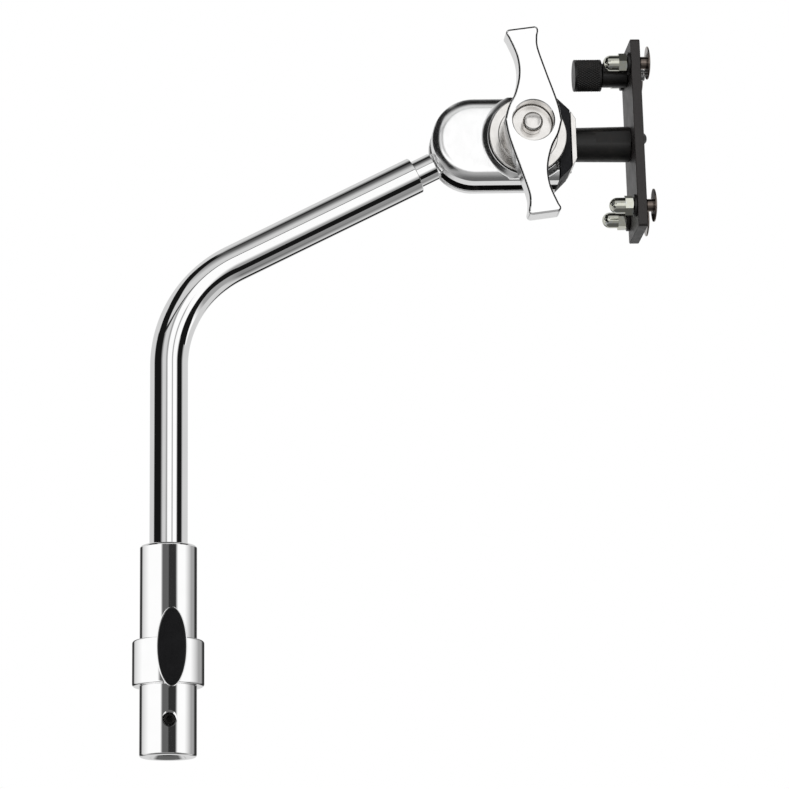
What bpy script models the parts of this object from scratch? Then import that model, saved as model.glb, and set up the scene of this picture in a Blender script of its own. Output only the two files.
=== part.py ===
"""Swivel light bracket: a junior pin, a bent arm, a clamping head and a plate with mushroom studs.

World frame: the origin is on the pin's axis at the underside of its collar. Z goes up along the
pin, X goes towards the head, and Y goes away from the T-handle.
Head frame: the origin is on the tilt pivot. X goes along the head towards the plate, Y as above.
Swivel frame: the head frame moved to the open end of the head and up to the stub's axis.
"""

import math

import bmesh
import bpy
from mathutils import Matrix, Vector

MM = 0.001
FIT = 0.3 * MM  # gap kept between two pieces that touch
EDGE = 0.5 * MM  # small round on a machined edge
THROUGH = 2.0 * MM  # how far a cutting tool runs past the face it enters

# Junior pin
PIN_D = 28.575 * MM
PIN_FOOT = 35.0 * MM
PIN_TOP = 70.6 * MM
PIN_ROUND = 1.3 * MM
COLLAR_D = 35.8 * MM
COLLAR_H = 22.8 * MM
RECEIVER_D = 16.1 * MM
RECEIVER_DEPTH = 60.0 * MM
RECEIVER_MOUTH = 1.8 * MM
SOCKET_DEPTH = 30.6 * MM
SOCKET_MOUTH = 0.4 * MM

# Oval inlay on a raised boss of the collar
INLAY_W = 13.4 * MM
INLAY_H = 37.6 * MM
INLAY_T = 0.7 * MM
INLAY_Z = 17.6 * MM
INLAY_TURN = math.radians(5.0)
BOSS_RIM = 0.8 * MM
BOSS_PROUD = 0.3 * MM

# Grub screw across the receiver
GRUB_Z = -17.5 * MM
GRUB_TURN = math.radians(2.4)
GRUB_HOLE_D = 6.2 * MM
GRUB_SINK_D = 8.3 * MM
GRUB_SET_IN = 1.6 * MM
GRUB_HEX = 3.0 * MM
GRUB_HEX_DEPTH = 2.0 * MM

# Arm
TUBE_D = 19.05 * MM
TUBE_WALL = 2.1 * MM
BEND_Z = 199.7 * MM
BEND_R = 60.0 * MM
ARM_RISE = math.radians(27.1)
UPPER_LEG = 141.0 * MM
SPIGOT_INSERT = 30.0 * MM
SPIGOT_SHOW = 10.6 * MM
SPIGOT_CLEAR = 0.8 * MM

# Clamp head
HEAD_TILT = math.radians(1.2)
HOUSING_R = 21.8 * MM
SEAM = 10.5 * MM
FRONT_DEPTH = 11.75 * MM
FRONT_FILLET = 3.75 * MM
BACK_DEPTH = 8.0 * MM
BACK_FILLET = 3.5 * MM
TONGUE_INSET = 4.8 * MM
PIVOT_D = 10.0 * MM
PIVOT_IN_FRONT = 7.0 * MM
PIVOT_IN_BACK = 5.0 * MM
WASHER_T = 0.9 * MM
WASHER_INSET = 1.0 * MM
BOLT_TO_TONGUE = 5.5 * MM
BOLT_TO_END = 16.0 * MM

# Clamp bolt, its nut, and what the handle presses on
BOLT_D = 8.0 * MM
BOLT_HEX = 8.0 * MM
BOLT_HEX_L = 13.5 * MM
BOLT_SHORT = 0.4 * MM
NUT_AF = 13.0 * MM
NUT_T = 4.4 * MM
BOSS_INSET = 0.4 * MM
BOSS_H = 2.0 * MM
DISC_INSET = 1.6 * MM
DISC_T = 2.4 * MM
DISC_STEP_R = 15.2 * MM
DISC_STEP_T = 0.8 * MM
CLAMP_WASHER_INSET = 0.5 * MM
CLAMP_WASHER_T = 0.6 * MM

# T-handle
NECK_R = 9.0 * MM
NECK_H = 12.7 * MM
HANDLE_T = 12.5 * MM
HANDLE_ROUND = 1.0 * MM
HUB_R = 14.5 * MM
HANDLE_REACH = 49.6 * MM
HANDLE_CORNER = 2.0 * MM
HANDLE_LEAN = math.radians(1.0)
RECESS_R = 10.4 * MM
RECESS_DEPTH = 9.0 * MM
CAP_D = 10.3 * MM
CAP_H = 7.0 * MM
CAP_SHANK_D = 5.0 * MM
CAP_SHANK_L = 10.0 * MM

# Black end block, chromed end plate and their screws
BLOCK_T = 6.4 * MM
BLOCK_FRONT = 15.5 * MM
BLOCK_BACK = 12.0 * MM
END_PLATE_T = 2.6 * MM
END_PLATE_INSET = 0.3 * MM
END_PLATE_DRAW = 1.7 * MM
TONGUE_KEY_L = 3.6 * MM
TONGUE_KEY_INSET = 1.8 * MM
END_SCREW_D = 3.0 * MM
END_SCREW_HEAD_D = 5.8 * MM
END_SCREW_HEAD_T = 1.5 * MM
END_SCREW_Z = 9.0 * MM
END_SCREW_BITE = 6.0 * MM

# Stub that carries the plate
JOURNAL_D = 14.0 * MM
JOURNAL_LIP = 1.0 * MM
FLANGE_T = 3.0 * MM
FLANGE_IN = 4.1 * MM
STUB_RISE = 0.8 * MM
STUB_D = 17.6 * MM
STUB_END_D = 18.4 * MM
STUB_LENGTH = 28.8 * MM
STUB_FLAT_DEPTH = 0.27 * MM
STUB_FLAT_FROM = 10.6 * MM
STUB_FLAT_LEAN = math.radians(11.5)

# Plate and the two screws that hold it on the stub
PLATE_T = 5.0 * MM
PLATE_H = 99.3 * MM
PLATE_RISE = 1.4 * MM
PLATE_CORNER = 1.5 * MM
STUD_FROM_END = 11.8 * MM
STUD_FROM_SIDE = 4.35 * MM
STUD_TO_BUSH = 2.3 * MM
SCREW_Y = 5.2 * MM
SCREW_D = 4.0 * MM
SCREW_HEAD_D = 7.0 * MM
SCREW_HEAD_T = 3.0 * MM
SCREW_L = 16.0 * MM
SCREW_HEX = 2.5 * MM
SCREW_HEX_DEPTH = 1.5 * MM

# Mushroom studs, washers and cap nuts
STUD_HEAD_D = 17.0 * MM
STUD_RIM_T = 0.7 * MM
STUD_CROWN = 0.9 * MM
STUD_LAND_D = 7.0 * MM
STUD_SHANK_D = 6.5 * MM
STUD_GRIP = 3.5 * MM
STUD_THREAD_D = 5.0 * MM
STUD_THREAD_L = 13.5 * MM
STUD_WASHER_D = 11.5 * MM
STUD_WASHER_T = 1.3 * MM
CAP_NUT_AF = 9.0 * MM
CAP_NUT_HEX_T = 4.2 * MM
CAP_NUT_DOME_D = 8.2 * MM
CAP_NUT_L = 12.1 * MM

# Spring plunger
PLUNGER_DROP = 2.1 * MM
BUSH_D = 12.4 * MM
BUSH_L = 12.9 * MM
BUSH_NECK_D = 9.2 * MM
BUSH_WALL = 1.5 * MM
BUSH_CAP_T = 2.1 * MM
BUSH_FRONT_T = 0.9 * MM
NOSE_D = 6.0 * MM
NOSE_OUT = 4.5 * MM
PIN_FLANGE_T = 1.5 * MM
STEM_D = 4.0 * MM
STEM_IN_KNOB = 11.0 * MM
KNOB_D = 16.5 * MM
KNOB_L = 14.2 * MM
WIRE_D = 0.6 * MM
SPRING_TURNS = 4.5

# Sides of round pieces
BIG = 36
MID = 20
SMALL = 12

# Finishes: sRGB colour, roughness, metallic
CHROME = ("#d6d8da", 0.08, 1.0)
SATIN_CHROME = ("#d2d3d4", 0.22, 1.0)
POLISHED = ("#cfcfd0", 0.18, 1.0)
NICKEL = ("#b9ada3", 0.2, 1.0)
ZINC = ("#c4c8c0", 0.18, 1.0)
STEEL = ("#9a9c9e", 0.35, 1.0)
SPRING_STEEL = ("#8a8c8f", 0.3, 1.0)
BLACK_OXIDE = ("#1b1a1a", 0.42, 0.3)
BLACK_PAINT = ("#2a2828", 0.5, 0.0)
INLAY_BLACK = ("#1c1c1e", 0.55, 0.0)

# Worked out from the sizes above
TURN = math.pi / 2 - ARM_RISE
SOCKET_FLOOR = PIN_TOP - SOCKET_DEPTH
TUBE_FOOT = SOCKET_FLOOR + FIT
TUBE_BORE = TUBE_D - 2 * TUBE_WALL
SPIGOT_D = TUBE_BORE - 2 * FIT
LOWER_LEG = BEND_Z - BEND_R * math.tan(TURN / 2) - TUBE_FOOT
BEND_L = BEND_R * TURN
TUBE_L = LOWER_LEG + BEND_L + UPPER_LEG - BEND_R * math.tan(TURN / 2)
SHOULDER = HOUSING_R + SPIGOT_CLEAR
PIVOT_RUN = UPPER_LEG + SPIGOT_SHOW + SHOULDER
PIVOT = Vector((PIVOT_RUN * math.cos(ARM_RISE), 0, BEND_Z + PIVOT_RUN * math.sin(ARM_RISE)))
TONGUE_T = SEAM - 2 * (WASHER_T + 2 * FIT)
TONGUE_R = HOUSING_R - TONGUE_INSET
BOLT_X = TONGUE_R + BOLT_TO_TONGUE + BOLT_D / 2
HEAD_L = BOLT_X + BOLT_TO_END
FRONT_FACE = SEAM / 2 + FRONT_DEPTH
BACK_FACE = SEAM / 2 + BACK_DEPTH
BOSS_R = HOUSING_R - BOSS_INSET
BOSS_FACE = FRONT_FACE + BOSS_H
DISC_R = BOSS_R - DISC_INSET
CLAMP_WASHER_R = DISC_R - CLAMP_WASHER_INSET
DISC_SEAT = BOSS_FACE + FIT + CLAMP_WASHER_T + FIT
HANDLE_SEAT = DISC_SEAT + DISC_T + DISC_STEP_T + FIT
ARMS_BACK = HANDLE_SEAT + NECK_H
HANDLE_FACE = ARMS_BACK + HANDLE_T
RECESS_FLOOR = HANDLE_FACE - RECESS_DEPTH
END_PLATE_X = BLOCK_T + 2 * FIT
STUB_X = END_PLATE_X + END_PLATE_T + FIT
PLATE_X = STUB_X + STUB_LENGTH + FIT
PLATE_FACE = PLATE_X + PLATE_T
STUD_Y = BUSH_D / 2 + STUD_TO_BUSH + STUD_WASHER_D / 2
STUD_REACH = PLATE_H / 2 - STUD_FROM_END
PLATE_W = 2 * (STUD_Y + STUD_FROM_SIDE)
PLUNGER_Z = PLATE_RISE + STUD_REACH - PLUNGER_DROP
END_SCREW_Y = SEAM / 2 + BACK_DEPTH / 2 - FIT


# Outlines and facings


def facing_up(u, v, height):
    """Outline in X and Y, height along Z."""
    return (u, v, height)


def facing_plate(u, v, height):
    """Outline in Y and Z, height along X."""
    return (height, u, v)


def facing_front(u, v, height):
    """Outline in X and Z, height towards the T-handle, which is -Y."""
    return (u, -height, v)


def ellipse(half_u, half_v, count):
    turns = [2 * math.pi * i / count for i in range(count)]
    return [(half_u * math.cos(a), half_v * math.sin(a)) for a in turns]


def circle(radius, count):
    return ellipse(radius, radius, count)


def hexagon(across_flats):
    return circle(across_flats / 2 / math.cos(math.pi / 6), 6)


def moved(outline, u, v):
    return [(point[0] + u, point[1] + v) for point in outline]


def arc(centre_u, centre_v, radius, start, end, count):
    """Points from one angle to another, in degrees, both ends included."""
    angles = [math.radians(start + (end - start) * i / count) for i in range(count + 1)]
    return [(centre_u + radius * math.cos(a), centre_v + radius * math.sin(a)) for a in angles]


def rounded(points, count=1):
    """The outline with each corner (u, v, radius) turned into an arc. A point (u, v) stays sharp."""
    out = []
    for i, point in enumerate(points):
        if len(point) == 2:
            out.append(point)
            continue
        here = Vector(point[:2])
        back = (Vector(points[i - 1][:2]) - here).normalized()
        on = (Vector(points[(i + 1) % len(points)][:2]) - here).normalized()
        half = back.angle(on) / 2
        centre = here + (back + on).normalized() * point[2] / math.sin(half)
        first = here + back * point[2] / math.tan(half) - centre
        sweep = first.angle_signed(here + on * point[2] / math.tan(half) - centre)
        for step in range(count + 1):
            turned_to = Matrix.Rotation(-sweep * step / count, 2) @ first
            out.append(tuple(centre + turned_to))
    return out


def curved(points, count):
    """A smooth curve through the points, without its last one. Each point's slope is its neighbours'."""
    ends = [points[0]] + points + [points[-1]]
    out = []
    for before, start, end, after in zip(ends, ends[1:], ends[2:], ends[3:]):
        handles = [Vector(p) for p in (before, start, end, after)]
        first = handles[1] + (handles[2] - handles[0]) / 6
        second = handles[2] - (handles[3] - handles[1]) / 6
        for step in range(count):
            t = step / count
            point = handles[1] * (1 - t) ** 3 + first * 3 * t * (1 - t) ** 2
            point += second * 3 * t**2 * (1 - t) + handles[2] * t**3
            out.append(tuple(point))
    return out


# Solids


def skin(rings, loop=False):
    """A closed mesh over rings of points. A ring of one point is a pole, and open ends are capped."""
    bm = bmesh.new()
    rows = [[bm.verts.new(point) for point in ring] for ring in rings]
    pairs = list(zip(rows, rows[1:]))
    if loop:
        pairs.append((rows[-1], rows[0]))
    for low, high in pairs:
        count = max(len(low), len(high))
        for i in range(count):
            j = (i + 1) % count
            corners = [low[i % len(low)], low[j % len(low)], high[j % len(high)], high[i % len(high)]]
            bm.faces.new(list(dict.fromkeys(corners)))
    if not loop:
        for row in (rows[0], rows[-1]):
            if len(row) > 2:
                bm.faces.new(row)
    bmesh.ops.recalc_face_normals(bm, faces=bm.faces)
    return bm


def turned(profile, sides, facing, centre=(0, 0), bored=False):
    """A turned piece: profile is (radius, height) points. A bored one's profile is a closed loop."""
    rings = []
    for radius, height in profile:
        outline = circle(radius, sides) if radius else [(0, 0)]
        rings.append([facing(u, v, height) for u, v in moved(outline, *centre)])
    return skin(rings, loop=bored)


def slab(outline, low, high, facing):
    """An outline pulled from one height to another."""
    return skin([[facing(u, v, height) for u, v in outline] for height in (low, high)])


def rod(diameter, low, high, facing, centre=(0, 0), sides=MID, chamfer=0.0):
    """A plain round rod, with both ends chamfered if asked."""
    radius = diameter / 2
    profile = [(radius, low), (radius, high)]
    if chamfer:
        profile = [(radius - chamfer, low), (radius, low + chamfer)]
        profile += [(radius, high - chamfer), (radius - chamfer, high)]
    return turned(profile, sides, facing, centre)


def washer(inner_d, outer_r, low, high, facing, centre=(0, 0), sides=MID):
    profile = [(inner_d / 2, low), (outer_r, low), (outer_r, high), (inner_d / 2, high)]
    return turned(profile, sides, facing, centre, bored=True)


# Objects


def linear(channel):
    return channel / 12.92 if channel <= 0.04045 else ((channel + 0.055) / 1.055) ** 2.4


def material(name, finish):
    colour, roughness, metallic = finish
    channels = [int(colour[i : i + 2], 16) / 255 for i in (1, 3, 5)]
    made = bpy.data.materials.new(name)
    made.use_nodes = True
    shader = made.node_tree.nodes["Principled BSDF"]
    shader.inputs["Base Color"].default_value = [linear(c) for c in channels] + [1]
    shader.inputs["Roughness"].default_value = roughness
    shader.inputs["Metallic"].default_value = metallic
    return made


def link(name, bm, parent):
    mesh = bpy.data.meshes.new(name)
    bm.to_mesh(mesh)
    bm.free()
    mesh.shade_smooth()
    mesh.set_sharp_from_angle(angle=math.radians(35))
    obj = bpy.data.objects.new(name, mesh)
    obj.parent = parent
    bpy.context.scene.collection.objects.link(obj)
    return obj


def piece(name, bm, parent, finish):
    """One separate physical piece of the bracket."""
    obj = link(name, bm, parent)
    obj.data.materials.append(material(name, finish))
    return obj


def tool(name, bm, parent):
    """A shape that only cuts or joins, and isn't part of the bracket."""
    obj = link(name, bm, parent)
    obj.hide_render = True
    obj.display_type = "WIRE"
    return obj


def combine(obj, name, bm, operation):
    modifier = obj.modifiers.new(name, "BOOLEAN")
    modifier.operation = operation
    modifier.solver = "EXACT"
    modifier.object = tool(f"{obj.name}.{name}", bm, obj.parent)
    return modifier.object


def cut(obj, name, bm):
    return combine(obj, name, bm, "DIFFERENCE")


def fuse(obj, name, bm):
    return combine(obj, name, bm, "UNION")


def soften(obj, width, segments=2, angle=40):
    modifier = obj.modifiers.new("edges", "BEVEL")
    modifier.width = width
    modifier.segments = segments
    modifier.limit_method = "ANGLE"
    modifier.angle_limit = math.radians(angle)


def axis_empty(name, place, parent=None):
    """An empty that a moving group hangs from, with its origin on the joint's axis."""
    empty = bpy.data.objects.new(name, None)
    empty.empty_display_size = 10 * MM
    empty.parent = parent
    empty.matrix_local = place
    bpy.context.scene.collection.objects.link(empty)
    return empty


# Junior pin


def make_junior_pin():
    bore = RECEIVER_D / 2
    bore_top = RECEIVER_DEPTH - PIN_FOOT
    socket = TUBE_D / 2 + FIT
    profile = [
        (0, bore_top),
        (bore, bore_top),
        (bore, RECEIVER_MOUTH - PIN_FOOT),
        (bore + RECEIVER_MOUTH, -PIN_FOOT),
        (PIN_D / 2, -PIN_FOOT, PIN_ROUND),
        (PIN_D / 2, 0),
        (COLLAR_D / 2, 0, PIN_ROUND),
        (COLLAR_D / 2, COLLAR_H, PIN_ROUND),
        (PIN_D / 2, COLLAR_H),
        (PIN_D / 2, PIN_TOP, PIN_ROUND),
        (socket + SOCKET_MOUTH, PIN_TOP),
        (socket, PIN_TOP - SOCKET_MOUTH),
        (socket, SOCKET_FLOOR),
        (0, SOCKET_FLOOR),
    ]
    pin = piece("junior_pin", turned(rounded(profile), BIG, facing_up), None, CHROME)

    boss_face = COLLAR_D / 2 + BOSS_PROUD
    boss_root = (PIN_D / 2 + socket) / 2
    rim = FIT + BOSS_RIM
    outer = ellipse(INLAY_W / 2 + rim, INLAY_H / 2 + rim, BIG)
    lip = ellipse(INLAY_W / 2 + rim - EDGE, INLAY_H / 2 + rim - EDGE, BIG)
    levels = ((outer, boss_root), (outer, boss_face - EDGE), (lip, boss_face))
    rings = [[facing_front(u, v, height) for u, v in outline] for outline, height in levels]
    boss = fuse(pin, "inlay_boss", skin(rings))
    well_floor = boss_face - INLAY_T - 2 * FIT
    well = ellipse(INLAY_W / 2 + FIT, INLAY_H / 2 + FIT, BIG)
    pocket = cut(pin, "inlay_well", slab(well, well_floor, boss_face + THROUGH, facing_front))
    seat = ellipse(INLAY_W / 2, INLAY_H / 2, BIG)
    inlay_bm = slab(seat, well_floor + FIT, well_floor + FIT + INLAY_T, facing_front)
    inlay = piece("pin_inlay", inlay_bm, None, INLAY_BLACK)
    for obj in (boss, pocket, inlay):
        obj.location = (0, 0, INLAY_Z)
        obj.rotation_euler = (0, 0, INLAY_TURN)

    sink = (GRUB_SINK_D - GRUB_HOLE_D) / 2
    hole = [
        (GRUB_HOLE_D / 2, bore / 2),
        (GRUB_HOLE_D / 2, PIN_D / 2 - sink),
        (GRUB_SINK_D / 2, PIN_D / 2),
        (GRUB_SINK_D / 2 + THROUGH, PIN_D / 2 + THROUGH),
    ]
    drilled = cut(pin, "grub_hole", turned(hole, MID, facing_front, (0, GRUB_Z)))
    drilled.rotation_euler = (0, 0, GRUB_TURN)


def make_grub_screw():
    low = RECEIVER_D / 2 + FIT
    high = PIN_D / 2 - GRUB_SET_IN
    body = rod(GRUB_HOLE_D - 2 * FIT, low, high, facing_front, (0, GRUB_Z), SMALL, EDGE)
    screw = piece("receiver_grub_screw", body, None, BLACK_OXIDE)
    socket = moved(hexagon(GRUB_HEX), 0, GRUB_Z)
    key = cut(screw, "hex", slab(socket, high - GRUB_HEX_DEPTH, high + THROUGH, facing_front))
    for obj in (screw, key):
        obj.rotation_euler = (0, 0, GRUB_TURN)


# Arm


def centreline(run):
    """Place and lean of the tube's centreline at a length from its lower end."""
    lean = min(max(run - LOWER_LEG, 0) / BEND_R, TURN)
    past = max(run - LOWER_LEG - BEND_L, 0)
    x = BEND_R * (1 - math.cos(lean)) + past * math.sin(lean)
    z = TUBE_FOOT + min(run, LOWER_LEG) + BEND_R * math.sin(lean) + past * math.cos(lean)
    return x, z, lean


def tube_ring(run, radius, sides):
    x, z, lean = centreline(run)
    along = Vector((math.cos(lean), 0, -math.sin(lean)))
    across = Vector((0, 1, 0))
    return [Vector((x, 0, z)) + along * u + across * v for u, v in circle(radius, sides)]


def make_arm_tube():
    sides = 28
    bend_steps = 11
    bend = [LOWER_LEG + BEND_L * i / bend_steps for i in range(bend_steps + 1)]
    outside = [(0, TUBE_D / 2 - EDGE), (EDGE, TUBE_D / 2)]
    outside += [(run, TUBE_D / 2) for run in bend]
    outside += [(TUBE_L - EDGE, TUBE_D / 2), (TUBE_L, TUBE_D / 2 - EDGE)]
    inside = [(run, TUBE_BORE / 2) for run in [0] + bend + [TUBE_L]]
    stations = outside + inside[::-1]
    rings = [tube_ring(run, radius, sides) for run, radius in stations]
    piece("arm_tube", skin(rings, loop=True), None, CHROME)


def make_arm_spigot(arm_tip):
    root = SHOULDER + SPIGOT_SHOW + SPIGOT_INSERT
    body = rod(SPIGOT_D, -root, -SHOULDER, facing_plate, sides=28, chamfer=EDGE)
    spigot = piece("arm_spigot", body, arm_tip, CHROME)
    neck = math.sqrt((SPIGOT_D / 2) ** 2 - (TONGUE_T / 2) ** 2) - FIT
    lean = math.degrees(math.asin(neck / TONGUE_R))
    outline = arc(0, 0, TONGUE_R, lean - 180, 180 - lean, 28)
    outline += [(-SHOULDER - THROUGH, neck), (-SHOULDER - THROUGH, -neck)]
    tongue = fuse(spigot, "tongue", slab(outline, -TONGUE_T / 2, TONGUE_T / 2, facing_front))
    soften(tongue, EDGE, segments=1)
    hole = rod(PIVOT_D + 2 * FIT, -TONGUE_T, TONGUE_T, facing_front)
    cut(spigot, "pivot_hole", hole)


# Clamp head


def half_outline(inset):
    """Side view of the housing: a half circle about the pivot, then straight on to the open end."""
    radius = HOUSING_R - inset
    return [(HEAD_L, radius)] + arc(0, 0, radius, 90, 270, 22) + [(HEAD_L, -radius)]


def half_rings(depth, fillet, side):
    """Rings from the seam to the outer face. side is 1 for the front half and -1 for the back."""
    levels = [(EDGE, 0), (0, EDGE)]
    levels += [(fillet - u, depth - fillet + v) for u, v in arc(0, 0, fillet, 0, 90, 4)]
    rings = []
    for inset, height in levels:
        out = side * (SEAM / 2 + height)
        rings.append([facing_front(u, v, out) for u, v in half_outline(inset)])
    return rings


def cut_journal_seat(half):
    """The groove along the open end that grips the stub's journal and holds its flange."""
    clear = JOURNAL_D / 2 + FIT
    lip = clear + JOURNAL_LIP
    start = HEAD_L - FLANGE_IN - FLANGE_T - FIT
    stop = HEAD_L - FLANGE_IN + FIT
    profile = [(lip, start), (lip, stop), (clear, stop), (clear, HEAD_L + THROUGH)]
    cut(half, "journal_seat", turned(profile, MID, facing_plate, (0, STUB_RISE)))


def make_housing_front(head):
    half = piece("housing_front", skin(half_rings(FRONT_DEPTH, FRONT_FILLET, 1)), head, POLISHED)
    reach = math.degrees(math.acos(BOLT_TO_END / BOSS_R))
    levels = ((0, FRONT_FACE - FRONT_FILLET - EDGE), (0, BOSS_FACE - EDGE), (EDGE, BOSS_FACE))
    rings = []
    for inset, height in levels:
        outline = arc(BOLT_X, 0, BOSS_R - inset, reach, 360 - reach, 26)
        outline = [(min(u, HEAD_L), v) for u, v in outline]
        rings.append([facing_front(u, v, height) for u, v in outline])
    fuse(half, "boss", skin(rings))
    pivot_end = SEAM / 2 + PIVOT_IN_FRONT
    cut(half, "pivot_bore", rod(PIVOT_D + 2 * FIT, 0, pivot_end, facing_front))
    bolt_hole = rod(BOLT_D + 2 * FIT, 0, BOSS_FACE + THROUGH, facing_front, (BOLT_X, 0))
    cut(half, "bolt_hole", bolt_hole)
    cut_journal_seat(half)


def make_housing_back(head):
    half = piece("housing_back", skin(half_rings(BACK_DEPTH, BACK_FILLET, -1)), head, POLISHED)
    pivot_end = SEAM / 2 + PIVOT_IN_BACK
    cut(half, "pivot_bore", rod(PIVOT_D + 2 * FIT, -pivot_end, 0, facing_front))
    bolt_hole = rod(BOLT_D + 2 * FIT, -BACK_FACE, 0, facing_front, (BOLT_X, 0))
    cut(half, "bolt_hole", bolt_hole)
    pocket = moved(hexagon(NUT_AF + 2 * FIT), BOLT_X, 0)
    floor = BACK_FACE - NUT_T - 2 * FIT
    cut(half, "nut_pocket", slab(pocket, -BACK_FACE - THROUGH, -floor, facing_front))
    cut_journal_seat(half)
    for name, z in (("upper_screw_hole", END_SCREW_Z), ("lower_screw_hole", -END_SCREW_Z)):
        depth = END_SCREW_BITE + FIT
        hole = rod(END_SCREW_D + 2 * FIT, HEAD_L - depth, HEAD_L + THROUGH, facing_plate,
                   (END_SCREW_Y, z), SMALL)
        cut(half, name, hole)


def make_pivot(head):
    low = -(SEAM / 2 + PIVOT_IN_BACK - FIT)
    high = SEAM / 2 + PIVOT_IN_FRONT - FIT
    piece("pivot_pin", rod(PIVOT_D, low, high, facing_front, chamfer=EDGE), head, STEEL)
    radius = TONGUE_R - WASHER_INSET
    inner = PIVOT_D + 2 * FIT
    near = TONGUE_T / 2 + FIT
    front = washer(inner, radius, near, near + WASHER_T, facing_front)
    back = washer(inner, radius, -near - WASHER_T, -near, facing_front)
    piece("friction_washer_front", front, head, STEEL)
    piece("friction_washer_back", back, head, STEEL)


def make_back_nut(head):
    low = -(BACK_FACE - FIT)
    outline = moved(hexagon(NUT_AF), BOLT_X, 0)
    nut = piece("back_nut", slab(outline, low, low + NUT_T, facing_front), head, STEEL)
    soften(nut, EDGE, segments=1)
    bore = rod(BOLT_D + 2 * FIT, low - THROUGH, low + NUT_T + THROUGH, facing_front,
               (BOLT_X, 0))
    cut(nut, "bore", bore)


def slope_outline(low, high, draw=0.0):
    """Side view of a piece whose ends slope inwards from the housing's corners, at 45 degrees or more."""
    start = HOUSING_R - low
    end = HOUSING_R - high - draw
    return [(low, -start), (high, -end), (high, end), (low, start)]


def make_end_block(swivel):
    outline = slope_outline(FIT, FIT + BLOCK_T)
    block = piece("end_block", slab(outline, -BLOCK_BACK, BLOCK_FRONT, facing_front), swivel, BLACK_PAINT)
    soften(block, EDGE)
    half = HOUSING_R - TONGUE_KEY_INSET
    key = [(-TONGUE_KEY_L, -half), (FIT + THROUGH, -half), (FIT + THROUGH, half), (-TONGUE_KEY_L, half)]
    fuse(block, "seam_key", slab(key, FIT - SEAM / 2, SEAM / 2 - FIT, facing_front))
    hole = rod(JOURNAL_D + 2 * FIT, -TONGUE_KEY_L - THROUGH, BLOCK_T + THROUGH, facing_plate,
               (0, STUB_RISE))
    cut(block, "journal_hole", hole)
    for name, z in (("upper_screw_hole", END_SCREW_Z), ("lower_screw_hole", -END_SCREW_Z)):
        hole = rod(END_SCREW_D + 2 * FIT, -THROUGH, BLOCK_T + THROUGH, facing_plate,
                   (END_SCREW_Y, z), SMALL)
        cut(block, name, hole)


def end_screw_profile(grow):
    """Countersunk screw, from its tip to its head, grown by a clearance for its hole."""
    head_face = END_PLATE_X + END_PLATE_T
    shank = END_SCREW_D / 2 + grow
    head = END_SCREW_HEAD_D / 2 + grow
    return [
        (shank, -END_SCREW_BITE - grow),
        (shank, head_face - END_SCREW_HEAD_T - grow),
        (head, head_face - FIT),
    ]


def make_end_plate(swivel):
    outline = slope_outline(END_PLATE_X, END_PLATE_X + END_PLATE_T, END_PLATE_DRAW)
    low = END_PLATE_INSET - BLOCK_BACK
    high = BLOCK_FRONT - END_PLATE_INSET
    plate = piece("end_plate", slab(outline, low, high, facing_front), swivel, CHROME)
    soften(plate, EDGE / 2, segments=1)
    hole = rod(JOURNAL_D + 2 * FIT, END_PLATE_X - THROUGH, STUB_X + THROUGH, facing_plate,
               (0, STUB_RISE))
    cut(plate, "journal_hole", hole)
    for side, z in (("upper", END_SCREW_Z), ("lower", -END_SCREW_Z)):
        sink = end_screw_profile(FIT)
        sink.append((sink[-1][0], STUB_X + THROUGH))
        cut(plate, f"{side}_sink", turned(sink, SMALL, facing_plate, (END_SCREW_Y, z)))
        body = turned(end_screw_profile(0), SMALL, facing_plate, (END_SCREW_Y, z))
        screw = piece(f"end_screw_{side}", body, swivel, STEEL)
        head_face = END_PLATE_X + END_PLATE_T
        socket = moved(hexagon(END_SCREW_D * 2 / 3), END_SCREW_Y, z)
        cut(screw, "hex", slab(socket, head_face - END_SCREW_HEAD_T, head_face, facing_plate))


# Clamp and T-handle


def make_clamp(clamp):
    bore = BOLT_D + 2 * FIT
    low = BOSS_FACE + FIT
    flat = washer(bore, CLAMP_WASHER_R, low, low + CLAMP_WASHER_T, facing_front, sides=BIG)
    piece("clamp_washer", flat, clamp, BLACK_OXIDE)
    top = DISC_SEAT + DISC_T
    profile = [
        (bore / 2, DISC_SEAT),
        (DISC_R, DISC_SEAT, EDGE),
        (DISC_R, top, EDGE),
        (DISC_STEP_R, top),
        (DISC_STEP_R, top + DISC_STEP_T, EDGE),
        (bore / 2, top + DISC_STEP_T),
    ]
    piece("clamp_disc", turned(rounded(profile), BIG, facing_front, bored=True), clamp, CHROME)


def handle_outline():
    """One arm of the handle, then the same turned half round.

    U is along the head in hub radii, and V is up in reaches of the handle.
    """
    full_side = [(1.0, 0), (0.869, 0.192), (0.51, 0.504), (0.234, 0.756), (0.2, 0.867), (0.235, 0.94)]
    tip = [(0.24, 1.0), (-0.993, 0.948)]
    hollow_side = [(-0.821, 0.871), (-0.55, 0.675), (-0.485, 0.484), (-0.631, 0.286), (-0.869, 0.141),
                   (-1.0, 0)]
    full_side, tip, hollow_side = [
        [(u * HUB_R, v * HANDLE_REACH) for u, v in points] for points in (full_side, tip, hollow_side)
    ]
    corners = [(u, v, HANDLE_CORNER) for u, v in tip]
    end = rounded([full_side[-1], *corners, hollow_side[0]], 3)[:-1]
    half = curved(full_side, 3) + end + curved(hollow_side, 3)
    return half + [(-u, -v) for u, v in half]


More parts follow.
